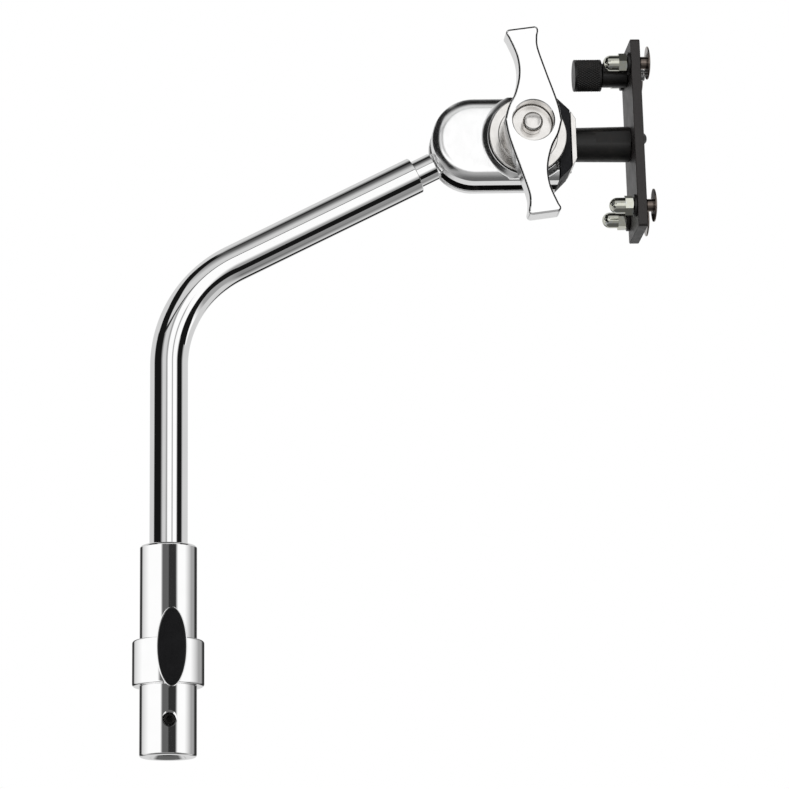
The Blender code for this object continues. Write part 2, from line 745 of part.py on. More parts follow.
def make_handle(handle):
    arms = slab(handle_outline(), ARMS_BACK, HANDLE_FACE, facing_front)
    grip = piece("t_handle", arms, handle, SATIN_CHROME)
    soften(grip, HANDLE_ROUND)
    neck = rod(2 * NECK_R, HANDLE_SEAT, ARMS_BACK + THROUGH, facing_front)
    fuse(grip, "neck", neck)
    cut(grip, "recess", rod(2 * RECESS_R, RECESS_FLOOR, HANDLE_FACE + THROUGH, facing_front))
    drive = hexagon(BOLT_HEX + 2 * FIT)
    cut(grip, "drive", slab(drive, HANDLE_SEAT - THROUGH, RECESS_FLOOR + THROUGH, facing_front))

    tip = -(BACK_FACE - FIT - BOLT_SHORT)
    top = RECESS_FLOOR - BOLT_SHORT
    shank = rod(BOLT_D, tip, top - BOLT_HEX_L + FIT, facing_front, chamfer=EDGE)
    bolt = piece("clamp_bolt", shank, handle, STEEL)
    fuse(bolt, "hex_end", slab(hexagon(BOLT_HEX), top - BOLT_HEX_L, top, facing_front))
    tapped = rod(CAP_SHANK_D + 2 * FIT, RECESS_FLOOR - CAP_SHANK_L, top + THROUGH, facing_front,
                 sides=SMALL)
    cut(bolt, "tapped_hole", tapped)

    seat = RECESS_FLOOR + FIT
    cap = [
        (CAP_SHANK_D / 2, seat - CAP_SHANK_L),
        (CAP_SHANK_D / 2, seat),
        (CAP_D / 2, seat),
        (CAP_D / 2, seat + CAP_H, HANDLE_ROUND),
        (0, seat + CAP_H),
    ]
    piece("handle_screw", turned(rounded(cap), MID, facing_front), handle, SATIN_CHROME)


# Stub and plate


def screw_places():
    """Name and Y of each screw through the plate into the stub."""
    return [("front", -SCREW_Y), ("back", SCREW_Y)]


def make_stub(swivel):
    journal = JOURNAL_D / 2
    flange_end = -FLANGE_IN
    end = STUB_X + STUB_LENGTH
    profile = [
        (journal + JOURNAL_LIP, flange_end - FLANGE_T),
        (journal + JOURNAL_LIP, flange_end),
        (journal, flange_end),
        (journal, STUB_X),
        (STUB_D / 2, STUB_X, EDGE),
        (STUB_END_D / 2, end, EDGE),
        (0, end),
    ]
    stub = piece("mount_stub", turned(rounded(profile), 28, facing_plate), swivel, BLACK_OXIDE)
    reach = SCREW_L - PLATE_T + FIT
    for name, y in screw_places():
        hole = rod(SCREW_D + 2 * FIT, end - reach, end + THROUGH, facing_plate, (y, PLATE_RISE), SMALL)
        cut(stub, f"{name}_hole", hole)
    radius = STUB_D / 2 - STUB_FLAT_DEPTH
    block = [(STUB_X + STUB_FLAT_FROM, -radius), (end + THROUGH, -radius),
             (end + THROUGH, radius), (STUB_X + STUB_FLAT_FROM, radius)]
    flat = cut(stub, "flat", slab(block, radius, 2 * radius, facing_front))
    flat.rotation_euler = (-STUB_FLAT_LEAN, 0, 0)


def make_plate(swivel):
    half_w = PLATE_W / 2
    half_h = PLATE_H / 2
    corners = [(half_w, half_h), (-half_w, half_h), (-half_w, -half_h), (half_w, -half_h)]
    outline = rounded([(y, z, PLATE_CORNER) for y, z in corners], 2)
    bm = slab(moved(outline, 0, PLATE_RISE), PLATE_X, PLATE_FACE, facing_plate)
    plate = piece("mounting_plate", bm, swivel, BLACK_PAINT)
    soften(plate, EDGE, segments=1)
    holes = [(f"screw_{name}_hole", SCREW_D, y, PLATE_RISE) for name, y in screw_places()]
    holes.append(("plunger_hole", BUSH_NECK_D, 0, PLUNGER_Z))
    holes += [(f"{name}_hole", STUD_THREAD_D, y, z) for name, y, z in stud_places()]
    for name, diameter, y, z in holes:
        hole = rod(diameter + 2 * FIT, PLATE_X - THROUGH, PLATE_FACE + THROUGH, facing_plate,
                   (y, z), SMALL)
        cut(plate, name, hole)

    seat = PLATE_FACE + FIT
    profile = [
        (SCREW_D / 2, PLATE_FACE - SCREW_L),
        (SCREW_D / 2, seat),
        (SCREW_HEAD_D / 2, seat),
        (SCREW_HEAD_D / 2, seat + SCREW_HEAD_T - 2 * EDGE),
        (SCREW_HEAD_D / 2 - 2 * EDGE, seat + SCREW_HEAD_T),
    ]
    top = seat + SCREW_HEAD_T
    for name, y in screw_places():
        body = turned(profile, MID, facing_plate, (y, PLATE_RISE))
        screw = piece(f"plate_screw_{name}", body, swivel, BLACK_OXIDE)
        socket = moved(hexagon(SCREW_HEX), y, PLATE_RISE)
        cut(screw, "hex", slab(socket, top - SCREW_HEX_DEPTH, top + THROUGH, facing_plate))


def stud_places():
    """Name, Y and Z of each stud. Front is the T-handle's side."""
    rows = (("upper", PLATE_RISE + STUD_REACH), ("lower", PLATE_RISE - STUD_REACH))
    sides = (("front", -STUD_Y), ("back", STUD_Y))
    return [(f"{row}_{side}", y, z) for row, z in rows for side, y in sides]


def stud_profile():
    seat = PLATE_FACE + FIT
    back = PLATE_FACE + STUD_GRIP
    rim = back + STUD_RIM_T
    return [
        (STUD_THREAD_D / 2, seat - STUD_THREAD_L),
        (STUD_THREAD_D / 2, seat),
        (STUD_SHANK_D / 2, seat),
        (STUD_SHANK_D / 2, back),
        (STUD_HEAD_D / 2, back),
        (STUD_HEAD_D / 2, rim),
        (STUD_LAND_D / 2, rim + STUD_CROWN),
    ]


def make_studs(swivel):
    washer_high = PLATE_X - FIT
    nut_high = washer_high - STUD_WASHER_T - FIT
    nut_low = nut_high - CAP_NUT_L
    hex_low = nut_high - CAP_NUT_HEX_T
    dome = CAP_NUT_DOME_D / 2
    dome_profile = [(0, nut_low)]
    dome_profile += [(dome * math.sin(a), nut_low + dome * (1 - math.cos(a)))
                     for a in (math.radians(30), math.radians(60), math.radians(90))]
    dome_profile.append((dome, hex_low + EDGE))
    thread_end = PLATE_FACE + FIT - STUD_THREAD_L - FIT
    for name, y, z in stud_places():
        place = (y, z)
        piece(f"stud_{name}", turned(stud_profile(), MID, facing_plate, place), swivel, NICKEL)
        flat = washer(STUD_THREAD_D + 2 * FIT, STUD_WASHER_D / 2, washer_high - STUD_WASHER_T,
                      washer_high, facing_plate, place)
        piece(f"stud_washer_{name}", flat, swivel, BLACK_OXIDE)
        hexes = slab(moved(hexagon(CAP_NUT_AF), y, z), hex_low, nut_high, facing_plate)
        nut = piece(f"stud_nut_{name}", hexes, swivel, ZINC)
        fuse(nut, "dome", turned(dome_profile, MID, facing_plate, place))
        bore = rod(STUD_THREAD_D + 2 * FIT, thread_end, nut_high + THROUGH, facing_plate, place, SMALL)
        cut(nut, "bore", bore)


# Spring plunger, in a frame on its own axis


def plunger_steps():
    """Places along the plunger: bush cap, cavity and front wall, as X in the swivel frame."""
    high = PLATE_X - FIT
    low = high - BUSH_L
    return low, low + BUSH_CAP_T, high - BUSH_FRONT_T, high


def make_plunger_bush(axis):
    low, cavity_low, cavity_high, high = plunger_steps()
    stem = STEM_D / 2 + FIT
    nose = NOSE_D / 2 + FIT
    cavity = BUSH_D / 2 - BUSH_WALL
    profile = [
        (stem, low),
        (BUSH_D / 2, low, EDGE),
        (BUSH_D / 2, high),
        (BUSH_NECK_D / 2, high),
        (BUSH_NECK_D / 2, PLATE_FACE - FIT),
        (nose, PLATE_FACE - FIT),
        (nose, cavity_high),
        (cavity, cavity_high),
        (cavity, cavity_low),
        (stem, cavity_low),
    ]
    bush = turned(rounded(profile), MID, facing_plate, bored=True)
    piece("plunger_bush", bush, axis, BLACK_OXIDE)


def make_plunger(slider, axis):
    low, cavity_low, cavity_high, _ = plunger_steps()
    flange_high = cavity_high - FIT
    flange_low = flange_high - PIN_FLANGE_T
    flange = BUSH_D / 2 - BUSH_WALL - FIT
    tip = PLATE_FACE + NOSE_OUT
    knob_high = low - FIT
    profile = [
        (STEM_D / 2, knob_high - STEM_IN_KNOB),
        (STEM_D / 2, flange_low),
        (flange, flange_low),
        (flange, flange_high),
        (NOSE_D / 2, flange_high),
        (NOSE_D / 2, tip - 2 * EDGE),
        (NOSE_D / 2 - 2 * EDGE, tip),
    ]
    piece("plunger_pin", turned(profile, SMALL, facing_plate), slider, STEEL)

    bore = STEM_D / 2 + FIT
    knob_low = knob_high - KNOB_L
    bore_end = knob_high - STEM_IN_KNOB - FIT
    knob = [
        (0, knob_low),
        (KNOB_D / 2, knob_low, 2 * EDGE),
        (KNOB_D / 2, knob_high, 2 * EDGE),
        (bore, knob_high),
        (bore, bore_end),
        (0, bore_end),
    ]
    piece("plunger_knob", turned(rounded(knob), 28, facing_plate), slider, BLACK_OXIDE)

    radius = (bore + BUSH_D / 2 - BUSH_WALL) / 2
    start = cavity_low + FIT + WIRE_D / 2
    rise = flange_low - FIT - WIRE_D / 2 - start
    steps = 8
    rings = []
    for i in range(round(SPRING_TURNS * steps) + 1):
        turn = 2 * math.pi * i / steps
        x = start + rise * i / (SPRING_TURNS * steps)
        centre = Vector((x, radius * math.cos(turn), radius * math.sin(turn)))
        out = Vector((0, math.cos(turn), math.sin(turn)))
        rings.append([centre + out * u + Vector((v, 0, 0)) for u, v in circle(WIRE_D / 2, 6)])
    piece("plunger_spring", skin(rings), axis, SPRING_STEEL)


def main():
    for obj in list(bpy.data.objects):
        bpy.data.objects.remove(obj)
    make_junior_pin()
    make_grub_screw()
    make_arm_tube()

    to_pivot = Matrix.Translation(PIVOT)
    arm_tip = axis_empty("arm_tip", to_pivot @ Matrix.Rotation(-ARM_RISE, 4, "Y"))
    make_arm_spigot(arm_tip)

    head = axis_empty("head_axis", to_pivot @ Matrix.Rotation(-HEAD_TILT, 4, "Y"))
    make_housing_front(head)
    make_housing_back(head)
    make_pivot(head)
    make_back_nut(head)
    end_cap = axis_empty("end_cap", Matrix.Translation((HEAD_L, 0, 0)), head)
    make_end_block(end_cap)
    make_end_plate(end_cap)

    clamp = axis_empty("clamp_axis", Matrix.Translation((BOLT_X, 0, 0)), head)
    make_clamp(clamp)
    make_handle(axis_empty("handle_axis", Matrix.Rotation(HANDLE_LEAN, 4, "Y"), clamp))

    swivel = axis_empty("plate_axis", Matrix.Translation((HEAD_L, 0, STUB_RISE)), head)
    make_stub(swivel)
    make_plate(swivel)
    make_studs(swivel)
    plunger_axis = axis_empty("plunger_axis", Matrix.Translation((0, 0, PLUNGER_Z)), swivel)
    make_plunger_bush(plunger_axis)
    make_plunger(axis_empty("plunger_slider", Matrix(), plunger_axis), plunger_axis)


main()
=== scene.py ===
# %% [markdown]
# # Swivel light bracket
#
# This bracket carries a film light at the side of a lamp stand. A heavy chromed pin drops into the
# stand, a bent tube reaches up and out, and a clamp head at its end grips a small black plate whose
# four mushroom studs slide into the back of the lamp. A T-handle closes the clamp.
#
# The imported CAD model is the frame: it gives every size, place and joint. Each piece that shows is
# built again here at the same place and size, with the round edges, finishes and light that a
# photograph of the real bracket shows.

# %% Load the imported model
import math

import bmesh
import bpy
from mathutils import Matrix, Vector


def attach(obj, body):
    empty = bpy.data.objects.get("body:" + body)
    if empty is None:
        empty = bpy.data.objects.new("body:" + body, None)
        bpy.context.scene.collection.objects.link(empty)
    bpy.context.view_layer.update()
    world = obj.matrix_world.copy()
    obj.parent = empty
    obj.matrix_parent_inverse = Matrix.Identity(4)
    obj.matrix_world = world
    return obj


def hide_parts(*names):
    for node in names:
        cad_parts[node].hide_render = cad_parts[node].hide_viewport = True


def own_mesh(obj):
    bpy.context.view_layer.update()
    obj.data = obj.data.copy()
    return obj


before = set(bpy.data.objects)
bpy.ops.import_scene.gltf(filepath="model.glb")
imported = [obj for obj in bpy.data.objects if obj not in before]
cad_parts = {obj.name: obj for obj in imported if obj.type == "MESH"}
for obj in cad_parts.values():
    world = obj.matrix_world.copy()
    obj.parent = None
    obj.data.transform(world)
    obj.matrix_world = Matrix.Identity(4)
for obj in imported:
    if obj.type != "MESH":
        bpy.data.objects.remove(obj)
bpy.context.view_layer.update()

# %% [markdown]
# ## Shapes as stacks of rings
#
# Almost every piece was turned on a lathe, sawn from flat bar or cast from a plain pattern. All of
# those can be made as a stack of rings: the same outline, drawn at one height after another and
# skinned with faces. Subdivision surfaces would also give soft shapes, but rings keep every
# diameter exact, so the pieces fit each other as they do in metal. Lengths are in millimetres.

# %% Three ways to stand an outline up
MM = 0.001  # metres in a millimetre


def facing_up(u, v, height):
    """Outline in X and Y, height along Z."""
    return (u, v, height)


def facing_front(u, v, height):
    """Outline in X and Z, height towards the T-handle, which is -Y."""
    return (u, -height, v)


def facing_plate(u, v, height):
    """Outline in Y and Z, height along X, towards the black plate."""
    return (height, u, v)


# %% Outlines
LARGE = 192  # sides of the pin and the clamp disc, whose outlines show most
ROUND = 160  # sides of other large round pieces
MEDIUM = 96  # sides of a stud's head, a nut's dome, a bore or the oval
SMALL = 64  # sides of a screw


def ellipse(half_u, half_v, count=ROUND):
    turns = [2 * math.pi * i / count for i in range(count)]
    return [(half_u * math.cos(a), half_v * math.sin(a)) for a in turns]


def circle(radius, count=ROUND):
    return ellipse(radius, radius, count)


def hexagon(across_flats):
    return circle(across_flats / 2 / math.cos(math.pi / 6), 6)


def moved(outline, u, v):
    return [(point[0] + u, point[1] + v) for point in outline]


def arc(centre_u, centre_v, radius, start, end, count):
    """Points from one angle to another, in degrees, both ends included."""
    angles = [math.radians(start + (end - start) * i / count) for i in range(count + 1)]
    return [(centre_u + radius * math.cos(a), centre_v + radius * math.sin(a)) for a in angles]


def rounded(points, count=6):
    """The outline with each corner (u, v, radius) made an arc. A point (u, v) stays sharp."""
    out = []
    for i, point in enumerate(points):
        if len(point) == 2:
            out.append(point)
            continue
        here = Vector(point[:2])
        back = (Vector(points[i - 1][:2]) - here).normalized()
        on = (Vector(points[(i + 1) % len(points)][:2]) - here).normalized()
        half = back.angle(on) / 2
        centre = here + (back + on).normalized() * point[2] / math.sin(half)
        first = here + back * point[2] / math.tan(half) - centre
        sweep = first.angle_signed(here + on * point[2] / math.tan(half) - centre)
        for step in range(count + 1):
            out.append(tuple(centre + Matrix.Rotation(-sweep * step / count, 2) @ first))
    return out


def inset(outline, depth):
    """The outline moved inwards by a depth. A sharp corner moves at most five times as far."""
    count = len(outline)
    pairs = [(outline[i], outline[(i + 1) % count]) for i in range(count)]
    area = sum(a[0] * b[1] - b[0] * a[1] for a, b in pairs)
    side = 1 if area > 0 else -1
    normals = [Vector((a[1] - b[1], b[0] - a[0])).normalized() * side for a, b in pairs]
    out = []
    for i, point in enumerate(outline):
        mitre = normals[i - 1] + normals[i]
        mitre *= depth / max(mitre.dot(normals[i]), 0.2)
        out.append((point[0] + mitre.x, point[1] + mitre.y))
    return out


print("a 16 mm circle inset by 1 mm spans", round(2 * inset(circle(8), 1)[0][0], 3), "mm")

# %% Skinned, turned and extruded solids


def stand(outline, facing, height):
    """An outline stood up at a height, as a ring of points."""
    return [facing(u, v, height) for u, v in outline]


def skin(rings, loop=False):
    """A closed mesh over rings of points. A one-point ring is a pole. Open ends are capped."""
    bm = bmesh.new()
    rows = [[bm.verts.new(point) for point in ring] for ring in rings]
    pairs = list(zip(rows, rows[1:]))
    if loop:
        pairs.append((rows[-1], rows[0]))
    for low, high in pairs:
        count = max(len(low), len(high))
        for i in range(count):
            j = (i + 1) % count
            around = ((low, i), (low, j), (high, j), (high, i))
            corners = [row[place % len(row)] for row, place in around]
            bm.faces.new(list(dict.fromkeys(corners)))
    if not loop:
        for row in (rows[0], rows[-1]):
            if len(row) > 2:
                bm.faces.new(row)
    bmesh.ops.recalc_face_normals(bm, faces=bm.faces)
    return bm


def turned(profile, facing, centre=(0, 0), bored=False, sides=ROUND):
    """A turned piece from (radius, height) points. A bored one's profile is a closed loop."""
    rings = []
    for radius, height in profile:
        outline = circle(radius, sides) if radius > 0 else [(0, 0)]
        rings.append(stand(moved(outline, *centre), facing, height))
    return skin(rings, loop=bored)


def slab(outline, low, high, facing, edge=0.0, steps=4):
    """An outline pulled from one height to another, with its edges rounded by a radius if asked."""
    levels = [(0, low), (0, high)]
    if edge:
        turns = [math.pi / 2 * i / steps for i in range(steps + 1)]
        levels = [(edge * (1 - math.sin(a)), low + edge * (1 - math.cos(a))) for a in turns]
        levels += [(edge * (1 - math.sin(a)), high - edge * (1 - math.cos(a))) for a in turns[::-1]]
    return skin([stand(inset(outline, depth), facing, height) for depth, height in levels])


def rod(diameter, low, high, facing, centre=(0, 0), edge=0.0, sides=SMALL):
    """A round rod, with both ends rounded by a radius if asked."""
    radius = diameter / 2
    profile = [(0, low), (radius, low), (radius, high), (0, high)]
    if edge:
        profile = [(0, low), (radius, low, edge), (radius, high, edge), (0, high)]
    return turned(rounded(profile, 4), facing, centre, sides=sides)


def ring(inner, outer, low, high, facing, edge=0.1, sides=ROUND):
    """A flat washer with its four edges slightly rounded."""
    profile = [(inner, low, edge), (outer, low, edge), (outer, high, edge), (inner, high, edge)]
    return turned(rounded(profile, 3), facing, bored=True, sides=sides)


# %% From a mesh to a piece of the bracket


def solid(name, bm, place=Matrix()):
    """An object with its own frame, from a mesh in millimetres."""
    bmesh.ops.scale(bm, vec=(MM, MM, MM), verts=bm.verts)
    mesh = bpy.data.meshes.new(name)
    bm.to_mesh(mesh)
    bm.free()
    obj = bpy.data.objects.new(name, mesh)
    obj.matrix_world = place
    bpy.context.scene.collection.objects.link(obj)
    return obj


def bake(obj):
    """Replaces an object's mesh by what its modifiers make of it."""
    graph = bpy.context.evaluated_depsgraph_get()
    mesh = bpy.data.meshes.new_from_object(obj.evaluated_get(graph))
    old = obj.data
    obj.modifiers.clear()
    obj.data = mesh
    bpy.data.meshes.remove(old)


def combine(obj, bm, operation, turn=Matrix()):
    """Cuts, joins or trims an object with another shape, given in the object's own frame."""
    tool = solid("tool", bm, obj.matrix_world @ turn)
    modifier = obj.modifiers.new(operation, "BOOLEAN")
    modifier.operation = operation
    modifier.solver = "EXACT"
    modifier.object = tool
    bake(obj)
    bpy.data.objects.remove(tool)


def cut(obj, bm, turn=Matrix()):
    combine(obj, bm, "DIFFERENCE", turn)


def fuse(obj, bm, turn=Matrix()):
    combine(obj, bm, "UNION", turn)


def hang(obj, body, slot, finish, *nodes, crisp=32):
    """Smooths a piece, gives it its finish, and hangs it on its body in place of the CAD nodes."""
    obj.data.materials.clear()
    obj.data.materials.append(finish)
    obj.data.shade_smooth()
    obj.data.set_sharp_from_angle(angle=math.radians(crisp))
    flats = obj.modifiers.new("flats_stay_flat", "WEIGHTED_NORMAL")
    flats.keep_sharp = True
    bake(obj)
    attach(obj, body)
    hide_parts(*nodes)
    sides = [round(length * 1000, 1) for length in obj.dimensions]
    print(f"{obj.name}: {len(obj.data.polygons)} faces, {sides} mm, on {body}")


# %% [markdown]
# ## Where the moving parts stand
#
# Each group of pieces gets a frame on the axis it moves about, as a machinist sets a vice square to
# the part. The arm rises at 27.1 degrees, the head is tilted 1.2 degrees on its pivot, and the
# handle is one degree round from upright, as in the photograph.

# %% Frames
HOUSING_R = 21.8
TUBE_D = 19.05
BEND_Z = 199.7  # where the two legs' centre lines cross
BEND_R = 60.0
ARM_RISE = math.radians(27.1)
UPPER_LEG = 141.0
SPIGOT_SHOW = 10.6  # bare length between tube and shoulder
SHOULDER = HOUSING_R + 0.8  # from the pivot to where the spigot is round again
PIVOT_RUN = UPPER_LEG + SPIGOT_SHOW + SHOULDER
HEAD_L = 42.5  # from the pivot to the head's open end
BOLT_X = 26.5  # from the pivot to the clamp bolt
STUB_RISE = 0.8  # of the stub's axis over the head's
PLUNGER_Z = 37.15


def shift(x, y, z):
    return Matrix.Translation(Vector((x, y, z)) * MM)


def spin(degrees, axis):
    return Matrix.Rotation(math.radians(degrees), 4, axis)


TO_PIVOT = shift(PIVOT_RUN * math.cos(ARM_RISE), 0, BEND_Z + PIVOT_RUN * math.sin(ARM_RISE))
ARM_TIP = TO_PIVOT @ Matrix.Rotation(-ARM_RISE, 4, "Y")
HEAD = TO_PIVOT @ spin(-1.2, "Y")
END = HEAD @ shift(HEAD_L, 0, 0)
BOLT = HEAD @ shift(BOLT_X, 0, 0)
HANDLE = BOLT @ spin(1.0, "Y")
SWIVEL = END @ shift(0, 0, STUB_RISE)
PLUNGER = SWIVEL @ shift(0, 0, PLUNGER_Z)
print("tilt pivot, mm:", [round(value / MM, 2) for value in TO_PIVOT.translation])

# %% [markdown]
# ## Finishes
#
# Each finish is one material, worked out from what the real metal or paint is. All patterns are
# solid noise in the piece's own coordinates, so they need no unwrapping and run through edges as
# they do in metal. Their sizes are real ones, in millimetres.

# %% Colours, nodes, and how every finish starts and ends


def colour(text):
    """An sRGB hex colour as linear red, green, blue and alpha."""
    channels = [int(text[i : i + 2], 16) / 255 for i in (1, 3, 5)]
    return [c / 12.92 if c <= 0.04045 else ((c + 0.055) / 1.055) ** 2.4 for c in channels] + [1]


def add(tree, kind, inputs=None, stops=None, **settings):
    """Adds a node. inputs fills or links its sockets, and stops gives a ramp its tones."""
    made = tree.nodes.new("ShaderNode" + kind)
    for name, value in settings.items():
        setattr(made, name, value)
    for i, (place, tone) in enumerate(stops or []):
        handles = made.color_ramp.elements
        handle = handles[i] if i < 2 else handles.new(place)
        handle.position = place
        handle.color = tone
    for name, value in (inputs or {}).items():
        if isinstance(value, bpy.types.NodeSocket):
            tree.links.new(value, made.inputs[name])
        else:
            made.inputs[name].default_value = value
    return made


def per_metre(size):
    """A noise scale for features of a size in millimetres."""
    return 1 / (size * MM)


def start_finish(name, metallic, roughness):
    """A new material, its nodes, its shader and the piece's own coordinates."""
    made = bpy.data.materials.new(name)
    made.use_nodes = True
    tree = made.node_tree
    shader = tree.nodes["Principled BSDF"]
    shader.inputs["Metallic"].default_value = metallic
    shader.inputs["Roughness"].default_value = roughness
    return made, tree, shader, add(tree, "TexCoord").outputs["Object"]


def dress(tree, shader, tint, patches, roughness, relief, span=(0.3, 0.7)):
    """Links a finish's tint and relief, and varies its roughness over the patches of a noise."""
    gloss = add(tree, "MapRange", {"Value": patches.outputs["Fac"], "From Min": span[0],
                                   "From Max": span[1], "To Min": roughness[0],
                                   "To Max": roughness[1]})
    tree.links.new(tint.outputs["Color"], shader.inputs["Base Color"])
    tree.links.new(gloss.outputs["Result"], shader.inputs["Roughness"])
    tree.links.new(relief.outputs["Normal"], shader.inputs["Normal"])


print("mid grey, linear:", [round(value, 3) for value in colour("#808080")])

# %% [markdown]
# ### Bright chrome plate
#
# The pin and tube are steel, polished and plated with bright nickel and chromium. The plate itself
# is nearly a mirror. What keeps it from looking computed is the polish beneath it: long, very
# shallow ripples from the buffing wheel, and a thin film from hands that dulls it in patches.

# %% Bright chrome plate
chrome, tree, shader, here = start_finish("bright_chrome_plate", 1.0, 0.03)
film = add(tree, "TexNoise", {"Vector": here, "Scale": per_metre(14), "Detail": 4,
                              "Roughness": 0.6})
tint = add(tree, "MixRGB", {"Fac": film.outputs["Fac"], "Color1": colour("#f6f6f6"),
                            "Color2": colour("#efefef")})
ripple = add(tree, "TexNoise", {"Vector": here, "Scale": per_metre(5), "Detail": 1})
buffed = add(tree, "Bump", {"Height": ripple.outputs["Fac"], "Strength": 1, "Distance": 0.001 * MM})
dress(tree, shader, tint, film, (0.02, 0.045), buffed, span=(0.35, 0.75))
print("made", chrome.name)

# %% [markdown]
# ### Faced chrome
#
# The clamp disc and the end plate are faced on a lathe or mill and plated without buffing. The fine
# tool lines blur what they mirror into broad patches, and the thin plate is a little warmer than
# that on the tube. Real tool lines are a few hundredths of a millimetre wide, so they are drawn at
# 0.3 mm.

# %% Faced chrome
# It also lines the T-handle's recess, where its darker tint is painted shade.
faced_and_recess_shade, tree, shader, here = start_finish("faced_chrome_and_recess_shade", 1.0, 0.16)
patches = add(tree, "TexNoise", {"Vector": here, "Scale": per_metre(6), "Detail": 3})
lines = add(tree, "TexNoise", {"Vector": here, "Scale": per_metre(0.3), "Detail": 2})
tint = add(tree, "MixRGB", {"Fac": patches.outputs["Fac"], "Color1": colour("#f1efed"),
                            "Color2": colour("#dddad6")})
tooled = add(tree, "Bump", {"Height": lines.outputs["Fac"], "Strength": 0.5,
                            "Distance": 0.003 * MM})
dress(tree, shader, tint, patches, (0.13, 0.2), tooled)
print("made", faced_and_recess_shade.name)

# %% [markdown]
# ### Satin chrome on a casting
#
# The T-handle is cast, tumbled smooth and plated. Tumbling leaves no polish lines, only a fine even
# grain that spreads each reflection, and a slight waviness from the mould.

# %% Satin chrome casting
satin, tree, shader, here = start_finish("satin_chrome_casting", 1.0, 0.12)
waves = add(tree, "TexNoise", {"Vector": here, "Scale": per_metre(9), "Detail": 2})
grain = add(tree, "TexNoise", {"Vector": here, "Scale": per_metre(0.5), "Detail": 3})
tint = add(tree, "MixRGB", {"Fac": waves.outputs["Fac"], "Color1": colour("#fcfcfc"),
                            "Color2": colour("#f6f6f6")})
mould = add(tree, "Bump", {"Height": waves.outputs["Fac"], "Strength": 1, "Distance": 0.02 * MM})
tumbled = add(tree, "Bump", {"Height": grain.outputs["Fac"], "Strength": 0.5,
                             "Distance": 0.006 * MM, "Normal": mould.outputs["Normal"]})
dress(tree, shader, tint, grain, (0.08, 0.15), tumbled)
print("made", satin.name)

# %% [markdown]
# ### Polished casting
#
# The two halves of the clamp head are cast steel, belt polished and plated thinly. They shine less
# clearly than the tube: the belt leaves a soft cloudiness a few millimetres across.

# %% Polished casting
casting, tree, shader, here = start_finish("polished_casting", 1.0, 0.2)
clouds = add(tree, "TexNoise", {"Vector": here, "Scale": per_metre(4), "Detail": 4})
belt = add(tree, "TexNoise", {"Vector": here, "Scale": per_metre(0.8), "Detail": 2})
tint = add(tree, "MixRGB", {"Fac": clouds.outputs["Fac"], "Color1": colour("#ffffff"),
                            "Color2": colour("#fafafa")})
soft = add(tree, "Bump", {"Height": clouds.outputs["Fac"], "Strength": 1, "Distance": 0.004 * MM})
worked = add(tree, "Bump", {"Height": belt.outputs["Fac"], "Strength": 0.5, "Distance": 0.0008 * MM,
                            "Normal": soft.outputs["Normal"]})
dress(tree, shader, tint, clouds, (0.19, 0.22), worked)
print("made", casting.name)

# %% [markdown]
# ### Turned nickel
#
# The mushroom studs are turned steel with nickel plate, which is warmer than chrome. The lathe's
# feed leaves rings round the axis. A real feed of 0.1 mm is finer than a pixel here, so it is drawn
# at 0.3 mm.

# %% Turned nickel
nickel, tree, shader, here = start_finish("turned_nickel_plate", 1.0, 0.06)
tarnish = add(tree, "TexNoise", {"Vector": here, "Scale": per_metre(3), "Detail": 3})
feed = add(tree, "TexWave", {"Vector": here, "Scale": per_metre(0.3) / 20, "Distortion": 0.6},
           wave_type="RINGS", rings_direction="X")
tint = add(tree, "MixRGB", {"Fac": tarnish.outputs["Fac"], "Color1": colour("#8f847c"),
                            "Color2": colour("#635a54")})
lathe = add(tree, "Bump", {"Height": feed.outputs["Fac"], "Strength": 0.8, "Distance": 0.012 * MM})
dress(tree, shader, tint, tarnish, (0.04, 0.08), lathe)
print("made", nickel.name)

# %% [markdown]
# ### Bright zinc
#
# The cap nuts are zinc plated and passivated. The passivation film is so thin that it colours the
# reflections: faint straw and green in patches of a millimetre or two.

# %% Bright zinc
zinc, tree, shader, here = start_finish("bright_zinc_plate", 1.0, 0.06)
patches = add(tree, "TexNoise", {"Vector": here, "Scale": per_metre(2), "Detail": 3})
passivated = add(tree, "ValToRGB", {"Fac": patches.outputs["Fac"]}, [
    (0.3, colour("#d9dbd4")), (0.5, colour("#d0d0c2")), (0.7, colour("#d4d8d8"))])
dents = add(tree, "Bump", {"Height": patches.outputs["Fac"], "Strength": 1, "Distance": 0.01 * MM})
dress(tree, shader, passivated, patches, (0.03, 0.09), dents)
print("made", zinc.name)

# %% [markdown]
# ### Black oxide
#
# Stub, bush, knob, screws and washers are steel blackened in a hot salt bath and oiled. The layer
# is a dark magnetite skin a thousandth of a millimetre thick, so turning marks show through. The
# oil gives a low, broad shine. Where a finger or tool has rubbed, it is a little browner.

# %% Black oxide
oxide, tree, shader, here = start_finish("black_oxide_oiled", 0.0, 0.4)
shader.inputs["IOR"].default_value = 1.6
shader.inputs["Specular IOR Level"].default_value = 0.36
rubbed = add(tree, "TexNoise", {"Vector": here, "Scale": per_metre(3), "Detail": 5})
feed = add(tree, "TexNoise", {"Vector": here, "Scale": per_metre(0.4), "Detail": 2})
tint = add(tree, "ValToRGB", {"Fac": rubbed.outputs["Fac"]}, [
    (0.35, colour("#0d0d0d")), (0.6, colour("#161413")), (0.75, colour("#221e1b"))])
marks = add(tree, "Bump", {"Height": feed.outputs["Fac"], "Strength": 0.7, "Distance": 0.01 * MM})
dress(tree, shader, tint, rubbed, (0.3, 0.48), marks)
print("made", oxide.name)
